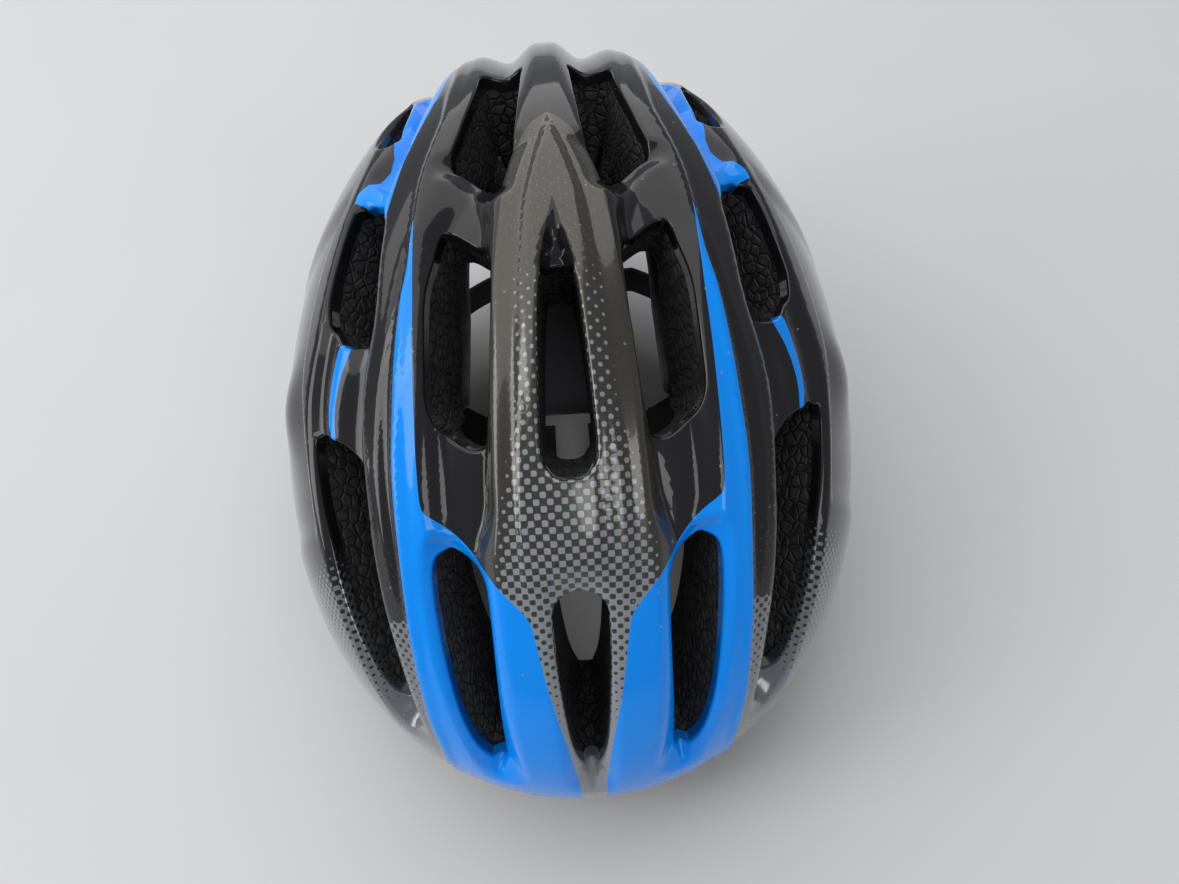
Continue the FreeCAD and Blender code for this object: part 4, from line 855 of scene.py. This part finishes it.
def lacquer(f, colour, **more):
    """Clear-coated colour with dust, faint scratches and a slight unevenness."""
    dust = specks(f)
    shade = f.mix(dust * 0.5, colour, DUST_GREY)
    haze = f.noise(HAZE_SCALE, 3.0)
    smear = f.node("ShaderNodeMapping", inputs={"Vector": f.place(), "Scale": SCRATCH_STRETCH})
    scratch = f.noise(SCRATCH_SCALE, 2.0, smear)
    wear = (scratch - 0.66).above(0, 0.05) * (haze - 0.5).above(0, 0.1)
    rough = 0.16 + haze * 0.12 + wear * 0.18 + dust * 0.3
    ripple = f.bump(f.noise(RIPPLE_SCALE, 1.0), RIPPLE_HEIGHT, 0.5)
    values = {"Base_Color": shade, "Roughness": rough, "Normal": ripple, "Coat_Weight": 0.8,
              "Coat_Roughness": 0.045, "Coat_IOR": 1.45, "Specular_IOR_Level": 0.1}
    values.update(more)
    return f.close(**values)


def dots(u, v, pitch):
    """Checked lattice of soft dots, from -1 between them to 1 at their middles."""
    rate = math.pi / pitch
    return (u * rate).cosine() * (v * rate).cosine()


def threshold(f, v, stops):
    """Share of the lattice left dark at each station, through (along, share) points."""
    low, high = stops[0][0], stops[-1][0]
    ramp = [((along - low) / (high - low), share / 2 + 0.5) for along, share in stops]
    station = (v - low) / (high - low)
    level = f.node("ShaderNodeValToRGB", {"stops": ramp}, {"Fac": station.clamped()})
    return (level - 0.5) * 2


# The share of dots left dark along each halftone: (along, share).
WARM_FADE = [(-182, -1.0), (-178, -0.915), (-165, -0.74), (-150, -0.40), (-130, -0.165), (-122, 0.0),
             (-115, 0.05), (-100, 0.15), (-80, 0.40), (-45, 0.78), (-38, 1.0)]
SIDE_FADE = [(-185, -1.0), (-120, 0.0), (-107, 1.0)]
STRIP_FADE = [(-178, -1.0), (-134, -0.2), (-133, 1.0)]
DOT_EDGE = 0.16           # softness of a dot's edge
DOTS_HALF, DOTS_TAPER, DOTS_FRONT = 11.5, 0.2, -75    # half width of the warm dots, widening forwards
SIDE_BAND = 84            # the side dots follow SIDE_FADE beyond this far across, else STRIP_FADE


def scaled(colour, share):
    """A colour made lighter or darker."""
    return tuple(min(1, part * share) for part in colour)


# Each function below mixes the finish of its own name from a blank one and the scene's colours.

def gloss_black(f, scene):
    return lacquer(f, tuple(scene.helmet_paint.black))


def gloss_blue(f, scene):
    return lacquer(f, tuple(scene.helmet_paint.blue), Coat_Weight=0.55)


def warm_halftone(f, scene):
    warm, silver = tuple(scene.helmet_paint.gunmetal), tuple(scene.helmet_paint.silver)
    u, v = f.pattern()
    spread = DOTS_HALF + (DOTS_FRONT - v).positive() * DOTS_TAPER
    past = (u.size() - spread).positive()
    limit = threshold(f, v, WARM_FADE) + past * 0.25
    light = dots(u, v, scene.helmet_paint.dot_pitch / MM).above(limit, DOT_EDGE)
    flake = f.noise(2600, 1.0)
    base = f.mix(flake.above(0.62, 0.2) * 0.35, warm, scaled(warm, 2.2))
    return lacquer(f, f.mix(light, base, silver), Metallic=0.55 - light * 0.4)


def side_halftone(f, scene):
    black, silver = tuple(scene.helmet_paint.black), tuple(scene.helmet_paint.silver)
    u, v = f.pattern()
    band = u.size().above(SIDE_BAND, 0.5)
    lower, strip = threshold(f, v, SIDE_FADE), threshold(f, v, STRIP_FADE)
    pitch = scene.helmet_paint.dot_pitch / MM
    light = dots(u, v, pitch).above(strip + (lower - strip) * band, DOT_EDGE)
    return lacquer(f, f.mix(light, black, scaled(silver, 0.75)), Metallic=light * 0.5)


def bead_foam(f, scene):
    foam = tuple(scene.helmet_soft.foam)
    bead = f.cells(300)
    crack = f.cells(300, "DISTANCE_TO_EDGE")
    shade = f.mix((bead * 2.2).clamped(), scaled(foam, 2.4), foam)
    return f.close(
        Base_Color=f.mix(crack.above(0.05, 0.06), (0.004, 0.004, 0.004), shade),
        Roughness=0.5 + f.noise(700) * 0.3, Normal=f.bump(crack.above(0.08, 0.16), 0.0005, 0.9))


def pad_cloth(f, scene):
    cloth = tuple(scene.helmet_soft.pad_cloth)
    knit = f.cells(1500)
    nap = f.noise(90, 3.0)
    return f.close(
        Base_Color=f.mix(nap, cloth, scaled(cloth, 1.9)), Roughness=0.86 + nap * 0.1,
        Sheen_Weight=0.35, Sheen_Roughness=0.5, Normal=f.bump(knit, 0.0003, 0.8))


def webbing(f, scene):
    strap = tuple(scene.helmet_soft.webbing)
    u, v = f.pattern()
    warp = (u * (math.pi / 0.9)).cosine()
    weft = (v * (math.pi / 0.8)).cosine()
    weave = warp * weft * 0.5 + 0.5
    return f.close(
        Base_Color=f.mix(weave, strap, scaled(strap, 2.6)), Roughness=0.62 + weave * 0.15,
        Sheen_Weight=0.2, Normal=f.bump(weave, 0.00018, 0.9))


def nylon(f, scene):
    grain = f.noise(1400, 2.0)
    tone = f.noise(60, 2.0)
    return f.close(
        Base_Color=f.mix(tone, (0.013, 0.013, 0.014), (0.022, 0.022, 0.023)),
        Roughness=0.38 + grain * 0.2, Normal=f.bump(grain, 0.00006, 0.7))


def knob_rubber(f, scene):
    grain = f.noise(1100, 3.0)
    return f.close(
        Base_Color=f.mix(grain, (0.018, 0.018, 0.019), (0.034, 0.034, 0.035)),
        Roughness=0.68 + grain * 0.2, Normal=f.bump(grain, 0.0001, 0.8))


def zinc_steel(f, scene):
    across = f.node("ShaderNodeMapping", inputs={"Vector": f.place(), "Scale": (1, 6, 1)})
    streak = f.noise(240, 2.0, across)
    return f.close(
        Base_Color=f.mix(streak, (0.42, 0.42, 0.43), (0.62, 0.62, 0.60)), Metallic=1.0,
        Roughness=0.24 + streak * 0.2)


def hook_tape(f, scene):
    hook = f.cells(1700)
    return f.close(
        Base_Color=f.mix((hook * 1.8).clamped(), (0.045, 0.045, 0.045), (0.008, 0.008, 0.008)),
        Roughness=0.85, Normal=f.bump(hook, 0.0006, 1.0))


FINISHES = (gloss_black, gloss_blue, warm_halftone, side_halftone, bead_foam, pad_cloth, webbing,
            nylon, knob_rubber, zinc_steel, hook_tape)


def finish_named(name):
    """A finish that has been mixed."""
    return bpy.data.materials[name]


# ---------------------------------------------------------------- pieces

LEVEL_MATCH = 0.02        # an open edge this near a level line, in angle, lies on it


def skin_piece(name, outer, inner, vents, creased, edges, materials):
    """One skin: a lifted sheet whose vents and level edges are rolled over.

    edges tells each level edge how to turn: (angles, radius, wall).
    """
    size = bpy.context.scene.helmet_skin
    spacing = size.facet / MM
    lip = size.lip_radius / MM
    holes = [widened(outline, lip) for outline in vents]
    lines = crease_lines(spacing, holes) if creased else []
    flat, faces = flat_sheet(spacing, outer, inner, holes, lines)
    place = skin(flat[:, 0], flat[:, 1])
    facing = outward(skin, flat[:, 0], flat[:, 1], CREASE_SOFTNESS)
    bm = sheet_bmesh(flat, faces, place, facing)
    bm.normal_update()
    if len(materials) > 1:
        paint(bm)
    pattern = bm.verts.layers.float_vector["pattern"]
    for loop in edge_loops(bm):
        spots = np.array([vert[pattern] for edge in loop for vert in edge.verts])
        angle, turn = angle_of(spots[:, 0], spots[:, 1])
        for angles, radius, wall in edges:
            if np.abs(angle - np.interp(turn, TURNS, angles)).max() < LEVEL_MATCH:
                turn_edge(bm, loop, radius, wall, 0, toward_centre=False)
                break
        else:
            turn_edge(bm, loop, lip, size.lip_wall / MM, LIP_TUCK)
    return finish(bm, name, materials)


def clear_runs(line, holes, gap):
    """The stretches of a line that keep a gap from every hole."""
    away_from = np.full(len(line), True)
    for hole in holes:
        away_from &= signed_distance(line[:, 0], line[:, 1], hole, NEAR) < -gap
    runs, run = [], []
    for point, clear in zip(line, away_from):
        if clear:
            run.append(point)
        if not clear or point is line[-1]:
            if len(run) > 1:
                runs.append(np.array(run))
            run = []
    return runs


HOLLOW_RINGS = (0.0, 0.35, 0.7, 1.05)     # insets of the mesh's lines, in shares of a shoulder
LINE_GAP = 1.0            # the mesh's lines end this far from a vent


def crease_lines(spacing, holes):
    """Lines that the skin's mesh keeps to: creases, with companions, and the edges of the paint."""
    painted = [ringed(outline, spacing) for outline, _ in zones()]
    valley = stretch(SECOND_CREASE, -112, -40)
    valley = np.stack([(valley[:, 0] + follow(valley[:, 1], MAIN_CREASE)) / 2, valley[:, 1]], -1)
    # Each line, with the distances across it at which the mesh follows it.
    ridges = [(stretch(MAIN_CREASE, -15, 100), (0,)), (MAIN_CREASE, (-4.0, -2.4, -1.1, 1.3)),
              (SECOND_CREASE, (-1.2, 0, 1.0, 2.2)), (valley, (0,)), (SIDE_CREASE, (0, 0.8, 1.6)),
              (stretch(PLATEAU, -128, 3), (0, -1.3, -2.6)),
              (stretch(WARM_EDGE, -116, -80), (-1.6, 1.6)), (INNER_STRIP, (0, -0.75, -1.5)),
              (CROWN_RIDGE, (0.1, -0.6, -1.3))]
    shaped = [even(ridge + np.array([offset, 0]), spacing, False)
              for ridge, offsets in ridges for offset in offsets]
    for name, width in (("front_recess", RECESS_SHOULDER), ("side_groove", RECESS_SHOULDER),
                        ("rear_channel", CHANNEL_SHOULDER)):
        shaped += [ringed(widened(COARSE[name], -inset * width), spacing) for inset in HOLLOW_RINGS]
    lines = painted + [run for line in shaped for run in clear_runs(line, holes, LINE_GAP)]
    return lines + [line * np.array([-1.0, 1.0]) for line in lines]


def wall_distance(origin, ray, extra):
    """Distance along rays to the head space's wall, set outwards by extra."""
    radii = np.stack([CAVITY_ACROSS + extra, CAVITY_ALONG + extra, CAVITY_RISE + extra], -1)
    start = np.array([0.0, -CAVITY_Y, 0.0]) / radii
    step = ray / radii
    a, b, c = (step ** 2).sum(-1), 2 * (start * step).sum(-1), (start ** 2).sum(-1) - 1
    return (-b + np.sqrt(b * b - 4 * a * c)) / (2 * a)


CHANNEL_BLEND, CHANNEL_ENDS = 1.6, 5      # widths over which a channel's sides and ends round off
ANCHOR_BESIDE, ANCHOR_ABOVE, ANCHOR_IN = 1.5, 1.0, 0.3     # foam kept clear round a strap anchor


def cavity_side(place):
    """Where the foam's inner side lies behind each point of its outer side."""
    origin = np.stack([np.zeros(len(place)), np.zeros(len(place)),
                       np.minimum(place[:, 2], WAIST)], -1)
    ray = unit(place - origin)
    plain = origin + ray * wall_distance(origin, ray, np.zeros(len(place)))[:, None]
    aside = np.abs(np.abs(plain[:, 0]) - CHANNEL_X)
    channel = (ease(CHANNEL_HALF + CHANNEL_BLEND / 2 - aside, 0, CHANNEL_BLEND)
               * ease(plain[:, 2], CHANNEL_FLOOR, CHANNEL_FLOOR + CHANNEL_ENDS)
               * ease(CHANNEL_REACH - np.abs(plain[:, 1] - CAVITY_Y), 0, CHANNEL_ENDS))
    inner = origin + ray * wall_distance(origin, ray, CHANNEL_DEPTH * channel)[:, None]
    for anchor in ("front", "rear"):
        low, high = (np.array(corner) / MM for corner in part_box(f"left_{anchor}_anchor"))
        middle, half = (low[1] + high[1]) / 2, (high[1] - low[1]) / 2
        beside = ((np.abs(inner[:, 1] - middle) < half + ANCHOR_BESIDE)
                  & (inner[:, 2] < high[2] + ANCHOR_ABOVE))
        reach = np.where(beside, high[0] + ANCHOR_IN, 0)
        inner[:, 0] = np.sign(inner[:, 0]) * np.maximum(np.abs(inner[:, 0]), reach)
    return inner


class HELMET_OT_finishes(bpy.types.Operator):
    """Mix every finish of the helmet"""
    bl_idname = "helmet.finishes"
    bl_label = "Mix finishes"

    def execute(self, context):
        for mix in FINISHES:
            mix(Finish(mix.__name__), context.scene)
        return {"FINISHED"}


ZONE_FINISHES = ("gloss_black", "gloss_blue", "warm_halftone", "side_halftone")   # by zone
PARTING_TURN, RIM_TURN = (0.7, 1.4), (1.2, 3.0)     # radius and wall of the skins' rolled edges
LIP_TUCK = 0.8            # the skin's return under a vent's lip
VENT_SHARE = 0.75         # spacing of the points round a vent, as a share of the facet


class HELMET_OT_skins(bpy.types.Operator):
    """Lay the upper and lower glossy skins over the foam"""
    bl_idname = "helmet.skins"
    bl_label = "Lay the skins"

    def execute(self, context):
        spacing = context.scene.helmet_skin.facet / MM
        rim, parting = level_line(RIM_LIFT), level_line(BAND_HEIGHT)
        seam = level_line(BAND_HEIGHT + PARTING_GAP)
        upper = skin_piece("upper_skin", seam, None, vent_outlines(spacing * VENT_SHARE), True,
                           [(seam, *PARTING_TURN)], [finish_named(name) for name in ZONE_FINISHES])
        dress(upper, "outer_shell", "helmet")
        lower = skin_piece("lower_skin", rim, parting, [], False,
                           [(parting, *PARTING_TURN), (rim, *RIM_TURN)], [finish_named("gloss_black")])
        dress(lower, "lower_shell", "helmet")
        return {"FINISHED"}


SKIN_DEPTH = 1.4          # the foam's outer side lies this far under the skin's
FOAM_FACET, FOAM_VENT_STEP = 3.0, 2.0
FOAM_VENT_GAP = 0.7       # its vents stand back from the skin's lips
FOAM_LIFT = RIM_LIFT + 1.3
FOAM_SHARP = math.radians(50)


class HELMET_OT_foam(bpy.types.Operator):
    """Mould the bead foam between the skins and the head space"""
    bl_idname = "helmet.foam"
    bl_label = "Mould the foam"

    def execute(self, context):
        holes = [widened(outline, FOAM_VENT_GAP) for outline in vent_outlines(FOAM_VENT_STEP)]
        flat, faces = flat_sheet(FOAM_FACET, level_line(FOAM_LIFT), None, holes, [])
        facing = outward(skin, flat[:, 0], flat[:, 1])
        bm = sheet_bmesh(flat, faces, skin(flat[:, 0], flat[:, 1]) - facing * SKIN_DEPTH, facing)
        bm.verts.layers.float_vector.remove(bm.verts.layers.float_vector["facing"])
        outer = list(bm.verts)
        inner = cavity_side(np.array([vert.co for vert in outer]))
        made = bmesh.ops.extrude_face_region(bm, geom=bm.faces[:], use_keep_orig=True)["geom"]
        fresh = {vert for vert in made if isinstance(vert, bmesh.types.BMVert)}
        rank = {vert.co.copy().freeze(): i for i, vert in enumerate(outer)}
        for vert in fresh:
            vert.co = inner[rank[vert.co.copy().freeze()]]
        bmesh.ops.recalc_face_normals(bm, faces=bm.faces)
        thing = finish(bm, "bead_foam_liner", [finish_named("bead_foam")])
        thing.data.set_sharp_from_angle(angle=FOAM_SHARP)
        dress(thing, "foam_liner", "helmet")
        return {"FINISHED"}


# ---------------------------------------------------------------- soft parts

PADS = {  # CAD node: (body, voxel size in millimetres)
    "brow_pad": ("helmet", 2.6), "crown_pad": ("helmet", 2.6),
    "left_side_pad": ("helmet", 2.6), "right_side_pad": ("helmet", 2.6),
    "left_rear_pad": ("helmet", 2.6), "right_rear_pad": ("helmet", 2.6),
    "left_cradle_pad": ("cradle", 1.3), "right_cradle_pad": ("cradle", 1.3),
    "chin_pad": ("right_chin", 0.6),
}
PAD_SHRINK = 0.25         # a blank starts this share of a voxel inside its solid
PAD_ROUNDS = 2            # rounds of smoothing
SWELL_CAP, SWELL_FRAMES, SWELL_PRESSURE = 0.8, 20, 4


def pad_blank(node, voxel):
    """Closed, evenly meshed copy of a pad's solid, a little smaller than it."""
    bm = bmesh.new()
    bm.from_mesh(frame["nodes"][node].data)
    bmesh.ops.remove_doubles(bm, verts=bm.verts, dist=1e-5)
    bmesh.ops.recalc_face_normals(bm, faces=bm.faces)
    thing = finish(bm, node + "_cushion", [], scale=1)
    remesh = thing.modifiers.new("even", "REMESH")
    remesh.mode, remesh.voxel_size = "VOXEL", voxel * MM
    bake(thing)
    bm = bmesh.new()
    bm.from_mesh(thing.data)
    for _ in range(PAD_ROUNDS):
        bmesh.ops.smooth_vert(bm, verts=bm.verts, factor=0.5, use_axis_x=True, use_axis_y=True,
                              use_axis_z=True)
    bm.normal_update()
    for vert in bm.verts:
        vert.co -= vert.normal * voxel * PAD_SHRINK * MM
    bm.to_mesh(thing.data)
    bm.free()
    return thing


def bake(thing):
    """Make the result of the live modifiers the mesh."""
    evaluated = thing.evaluated_get(bpy.context.evaluated_depsgraph_get())
    mesh = bpy.data.meshes.new_from_object(evaluated)
    old = thing.data
    thing.modifiers.clear()
    thing.data = mesh
    bpy.data.meshes.remove(old)


def swell(things, cap):
    """Fill the pads with pressure for a moment, so that their sides crown; no point moves past cap."""
    start = {thing: [vert.co.copy() for vert in thing.data.vertices] for thing in things}
    for thing in things:
        cloth = thing.modifiers.new("swell", "CLOTH")
        cloth.settings.quality = 5
        cloth.settings.use_pressure = True
        cloth.settings.uniform_pressure_force = SWELL_PRESSURE
        cloth.settings.effector_weights.gravity = 0
        cloth.point_cache.frame_start, cloth.point_cache.frame_end = 1, SWELL_FRAMES
    for frame_number in range(1, SWELL_FRAMES + 1):
        bpy.context.scene.frame_set(frame_number)
    for thing in things:
        bake(thing)
        for vert, origin in zip(thing.data.vertices, start[thing]):
            move = vert.co - origin
            if move.length > cap:
                vert.co = origin + move.normalized() * cap
    bpy.context.scene.frame_set(1)


class HELMET_OT_pads(bpy.types.Operator):
    """Sew the comfort pads"""
    bl_idname = "helmet.pads"
    bl_label = "Sew the pads"

    def execute(self, context):
        blanks = {node: pad_blank(node, voxel) for node, (_, voxel) in PADS.items()}
        swell(list(blanks.values()), SWELL_CAP * MM)
        for node, (body, _) in PADS.items():
            thing = blanks[node]
            thing.data.materials.append(finish_named("pad_cloth"))
            thing.data.polygons.foreach_set("use_smooth", [True] * len(thing.data.polygons))
            smooth = thing.modifiers.new("smooth", "SUBSURF")
            smooth.levels = smooth.render_levels = 1
            dress(thing, node, body)
        return {"FINISHED"}


# Straps are drawn in a frame at the middle of the left anchor bars, tipped down towards the middle.
STRAP_ORIGIN = Vector((79.5, 4.0, 8.0))
STRAP_DROP = math.radians(3.26)
WEB_MIDDLE, WEB_THICK, WEB_HALF = 1.5, 1.2, 7.5
LEG_RUN, LEG_SPREAD, LEG_END = 56.0, 36.0, 64.5
FOLD_X, FOLD_Z, CHIN_END = -70.0, 4.6, -41.0
WRAP = math.radians(300)          # how far webbing goes round a bar
WRAP_GAP = 0.2                    # a leg's straight run ends this far before its bar
LEG_STEPS, CHIN_STEPS, BAR_STEPS = 24, 14, 14
EDGE_TURNS = (-60, -20, 20, 60)   # corners of each rounded edge of the webbing, in degrees


def strap_place(point):
    """From the strap's own frame to the helmet's, on the left."""
    x, y, z = point
    turn, drop = math.cos(STRAP_DROP), math.sin(STRAP_DROP)
    return STRAP_ORIGIN + Vector((x * turn - z * drop, y, x * drop + z * turn))


def round_bar(x, z, start, sweep):
    """Stations of webbing round a bar: (x, z, heading)."""
    stations = []
    for i in range(BAR_STEPS + 1):
        angle = start + sweep * i / BAR_STEPS
        stations.append((x + WEB_MIDDLE * math.cos(angle), z + WEB_MIDDLE * math.sin(angle),
                         angle + math.copysign(math.pi / 2, sweep)))
    return stations


def lay_webbing(name, stations, middle, half, mirror):
    """Flat woven strap along stations in its frame; middle(x) and half give its place along Y."""
    bm = bmesh.new()
    pattern = bm.verts.layers.float_vector.new("pattern")
    corner = WEB_THICK / 2
    section = []
    for side in (1, -1):
        for turn in EDGE_TURNS:
            t = math.radians(turn)
            section.append((side * (half - corner + corner * math.cos(t)),
                            side * corner * math.sin(t)))
    ring, run, last = None, 0.0, None
    for x, z, heading in stations:
        y = middle(x)
        centre = Vector((x, y, z))
        run += (centre - last).length if last else 0
        last = centre
        normal = Vector((-math.sin(heading), 0, math.cos(heading)))
        places = [centre + Vector((0, across, 0)) + normal * up for across, up in section]
        if ring is None:
            ring = [bm.verts.new(place) for place in places]
            bm.faces.new(ring)
        else:
            fresh = [bm.verts.new(place) for place in places]
            for i in range(len(ring)):
                j = (i + 1) % len(ring)
                bm.faces.new((ring[i], ring[j], fresh[j], fresh[i]))
            ring = fresh
        for vert, (across, up) in zip(ring, section):
            vert[pattern] = (across, run, up)
    bm.faces.new(ring)
    for vert in bm.verts:
        vert.co = strap_place(vert.co)
        if mirror:
            vert.co.x = -vert.co.x
    bmesh.ops.recalc_face_normals(bm, faces=bm.faces)
    return finish(bm, name, [finish_named("webbing")])


def lay_leg(side, leg, sign):
    """One of a side's two straps, from the divider to its anchor bar."""
    slope = LEG_SPREAD / LEG_RUN
    level = WEB_MIDDLE * sign
    run = [(-LEG_END + (LEG_END - WRAP_GAP) * i / LEG_STEPS, level, 0.0)
           for i in range(LEG_STEPS + 1)]
    stations = run + round_bar(0, 0, math.pi / 2 * sign, -sign * WRAP)

    def middle(x):
        return sign * (LEG_SPREAD + slope * min(x, 0))

    thing = lay_webbing(f"{side}_{leg}_web", stations, middle, WEB_HALF * math.hypot(1, slope),
                        side == "right")
    dress(thing, f"{side}_{leg}_strap", f"{side}_strap")


def lay_chin(side):
    """A side's chin strap, from the buckle's end to the divider's bar."""
    level = FOLD_Z + WEB_MIDDLE
    run = [(CHIN_END + (FOLD_X - CHIN_END) * i / CHIN_STEPS, level, math.pi)
           for i in range(CHIN_STEPS + 1)]
    stations = run + round_bar(FOLD_X, FOLD_Z, math.pi / 2, WRAP)
    thing = lay_webbing(f"{side}_chin_web", stations, lambda x: 0.0, WEB_HALF, side == "right")
    dress(thing, f"{side}_chin_strap", f"{side}_chin")


class HELMET_OT_webbing(bpy.types.Operator):
    """Lay the woven straps"""
    bl_idname = "helmet.webbing"
    bl_label = "Lay the webbing"

    def execute(self, context):
        for side in ("left", "right"):
            lay_leg(side, "front", -1)
            lay_leg(side, "rear", 1)
            lay_chin(side)
        return {"FINISHED"}


SLOT_FINISHES = {  # the frame's material slots and the finish of each
    "nylon": "nylon", "knob_rubber": "knob_rubber", "steel": "zinc_steel", "hook_tape": "hook_tape",
    "pad_fabric": "pad_cloth", "webbing": "webbing", "eps_foam": "bead_foam",
    "shell_gloss": "gloss_black",
}


class HELMET_OT_fittings(bpy.types.Operator):
    """Finish the moulded, metal and rubber fittings"""
    bl_idname = "helmet.fittings"
    bl_label = "Finish the fittings"

    def execute(self, context):
        slots = {part["node"]: part["material_slot"] for part in frame["record"]["subparts"]}
        for name, node in frame["nodes"].items():
            node.data.materials.clear()
            node.data.materials.append(finish_named(SLOT_FINISHES[slots[name]]))
        return {"FINISHED"}


# ---------------------------------------------------------------- stage

FLOOR_RADIUS, FLOOR_GAP = 4000, 0.3
SKY, SKY_STRENGTH = (0.93, 0.95, 1.0), 0.34

# Each lamp's place and aim in metres, its width and height, and its power in watts.
LAMPS = {
    "overhead": ((-0.5, 0.8, 1.6), (0, 0, 0.08), (3.4, 2.6), 37),
    "left": ((-1.2, -0.3, 0.75), (0, 0, 0.1), (0.5, 1.2), 7),
    "front": ((0.5, -1.2, 1.3), (0, 0, 0.1), (1.0, 0.5), 5),
}

# The photograph's camera, as fitted to the helmet's outline and vents; its place in millimetres.
CAMERA_PLACE = Vector((2.714, -205.73, 323.894))
CAMERA_YAW, CAMERA_PITCH, CAMERA_ROLL = (math.radians(angle) for angle in (1.262, 56.366, 2.918))
SENSOR_WIDTH, LENS_LENGTH = 36, 26.406


def lay_floor():
    """Plain paper under the helmet."""
    bm = bmesh.new()
    bmesh.ops.create_circle(bm, cap_ends=True, segments=96, radius=FLOOR_RADIUS)
    for vert in bm.verts:
        vert.co.z = -FLOOR_GAP
    f = Finish("floor_paper")
    paper = f.close(Base_Color=f.mix(f.noise(6, 2.0), (0.60, 0.60, 0.61), (0.64, 0.64, 0.64)),
                    Roughness=0.95, Specular_IOR_Level=0.1)
    finish(bm, "floor", [paper])


def area_light(name, place, target, size, power):
    """A rectangular lamp turned to its target."""
    lamp = bpy.data.lights.new(name, "AREA")
    lamp.shape, lamp.size, lamp.size_y = "RECTANGLE", *size
    lamp.energy = power
    thing = bpy.data.objects.new(name, lamp)
    bpy.context.scene.collection.objects.link(thing)
    facing = (Vector(target) - Vector(place)).to_track_quat("-Z", "Y")
    thing.matrix_world = Matrix.Translation(place) @ facing.to_matrix().to_4x4()


def light_sky(scene):
    """Even light from all round."""
    scene.world = bpy.data.worlds.new("studio")
    scene.world.use_nodes = True
    background = scene.world.node_tree.nodes["Background"]
    background.inputs["Color"].default_value = (*SKY, 1)
    background.inputs["Strength"].default_value = SKY_STRENGTH


def place_camera(scene):
    """The photograph's view."""
    lens = bpy.data.cameras.new("camera")
    lens.sensor_width, lens.lens = SENSOR_WIDTH, LENS_LENGTH
    lens.clip_start, lens.clip_end = 0.02, 20
    camera = bpy.data.objects.new("camera", lens)
    scene.collection.objects.link(camera)
    ahead = Vector((math.sin(CAMERA_YAW) * math.cos(CAMERA_PITCH),
                    math.cos(CAMERA_YAW) * math.cos(CAMERA_PITCH), -math.sin(CAMERA_PITCH)))
    level = Vector((math.cos(CAMERA_YAW), -math.sin(CAMERA_YAW), 0))
    down = ahead.cross(level)
    right = level * math.cos(CAMERA_ROLL) + down * math.sin(CAMERA_ROLL)
    up = level * math.sin(CAMERA_ROLL) - down * math.cos(CAMERA_ROLL)
    axes = Matrix((right, up, -ahead)).transposed().to_4x4()
    camera.matrix_world = Matrix.Translation(CAMERA_PLACE * MM) @ axes
    scene.camera = camera


class HELMET_OT_stage(bpy.types.Operator):
    """Set the floor, the lights and the camera"""
    bl_idname = "helmet.stage"
    bl_label = "Set the stage"

    def execute(self, context):
        lay_floor()
        light_sky(context.scene)
        for name, settings in LAMPS.items():
            area_light(name, *settings)
        place_camera(context.scene)
        context.scene.view_settings.view_transform = "Standard"
        return {"FINISHED"}


class HELMET_PT_looks(bpy.types.Panel):
    """Lists the helmet's sizes and pieces"""
    bl_idname = "HELMET_PT_looks"
    bl_label = "Helmet looks"
    bl_space_type = "VIEW_3D"
    bl_region_type = "UI"
    bl_category = "Helmet"

    def draw(self, context):
        for group in (context.scene.helmet_skin, context.scene.helmet_paint,
                      context.scene.helmet_soft):
            box = self.layout.box()
            for name in group.__annotations__:
                box.prop(group, name)
        for operator in OPERATORS:
            self.layout.operator(operator.bl_idname)


GROUPS = {"helmet_skin": HELMET_PG_skin, "helmet_paint": HELMET_PG_paint,
          "helmet_soft": HELMET_PG_soft}
OPERATORS = (HELMET_OT_finishes, HELMET_OT_fittings, HELMET_OT_foam, HELMET_OT_skins,
             HELMET_OT_pads, HELMET_OT_webbing, HELMET_OT_stage)
CLASSES = (*GROUPS.values(), *OPERATORS, HELMET_PT_looks)


def register():
    for item in CLASSES:
        bpy.utils.register_class(item)
    for name, group in GROUPS.items():
        setattr(bpy.types.Scene, name, PointerProperty(type=group))


def unregister():
    for name in GROUPS:
        delattr(bpy.types.Scene, name)
    for item in reversed(CLASSES):
        bpy.utils.unregister_class(item)


def main():
    """Dress the frame."""
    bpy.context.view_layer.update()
    register()
    for operator in OPERATORS:
        group, name = operator.bl_idname.split(".")
        getattr(getattr(bpy.ops, group), name)()
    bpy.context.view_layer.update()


if __name__ == "__main__":
    main()
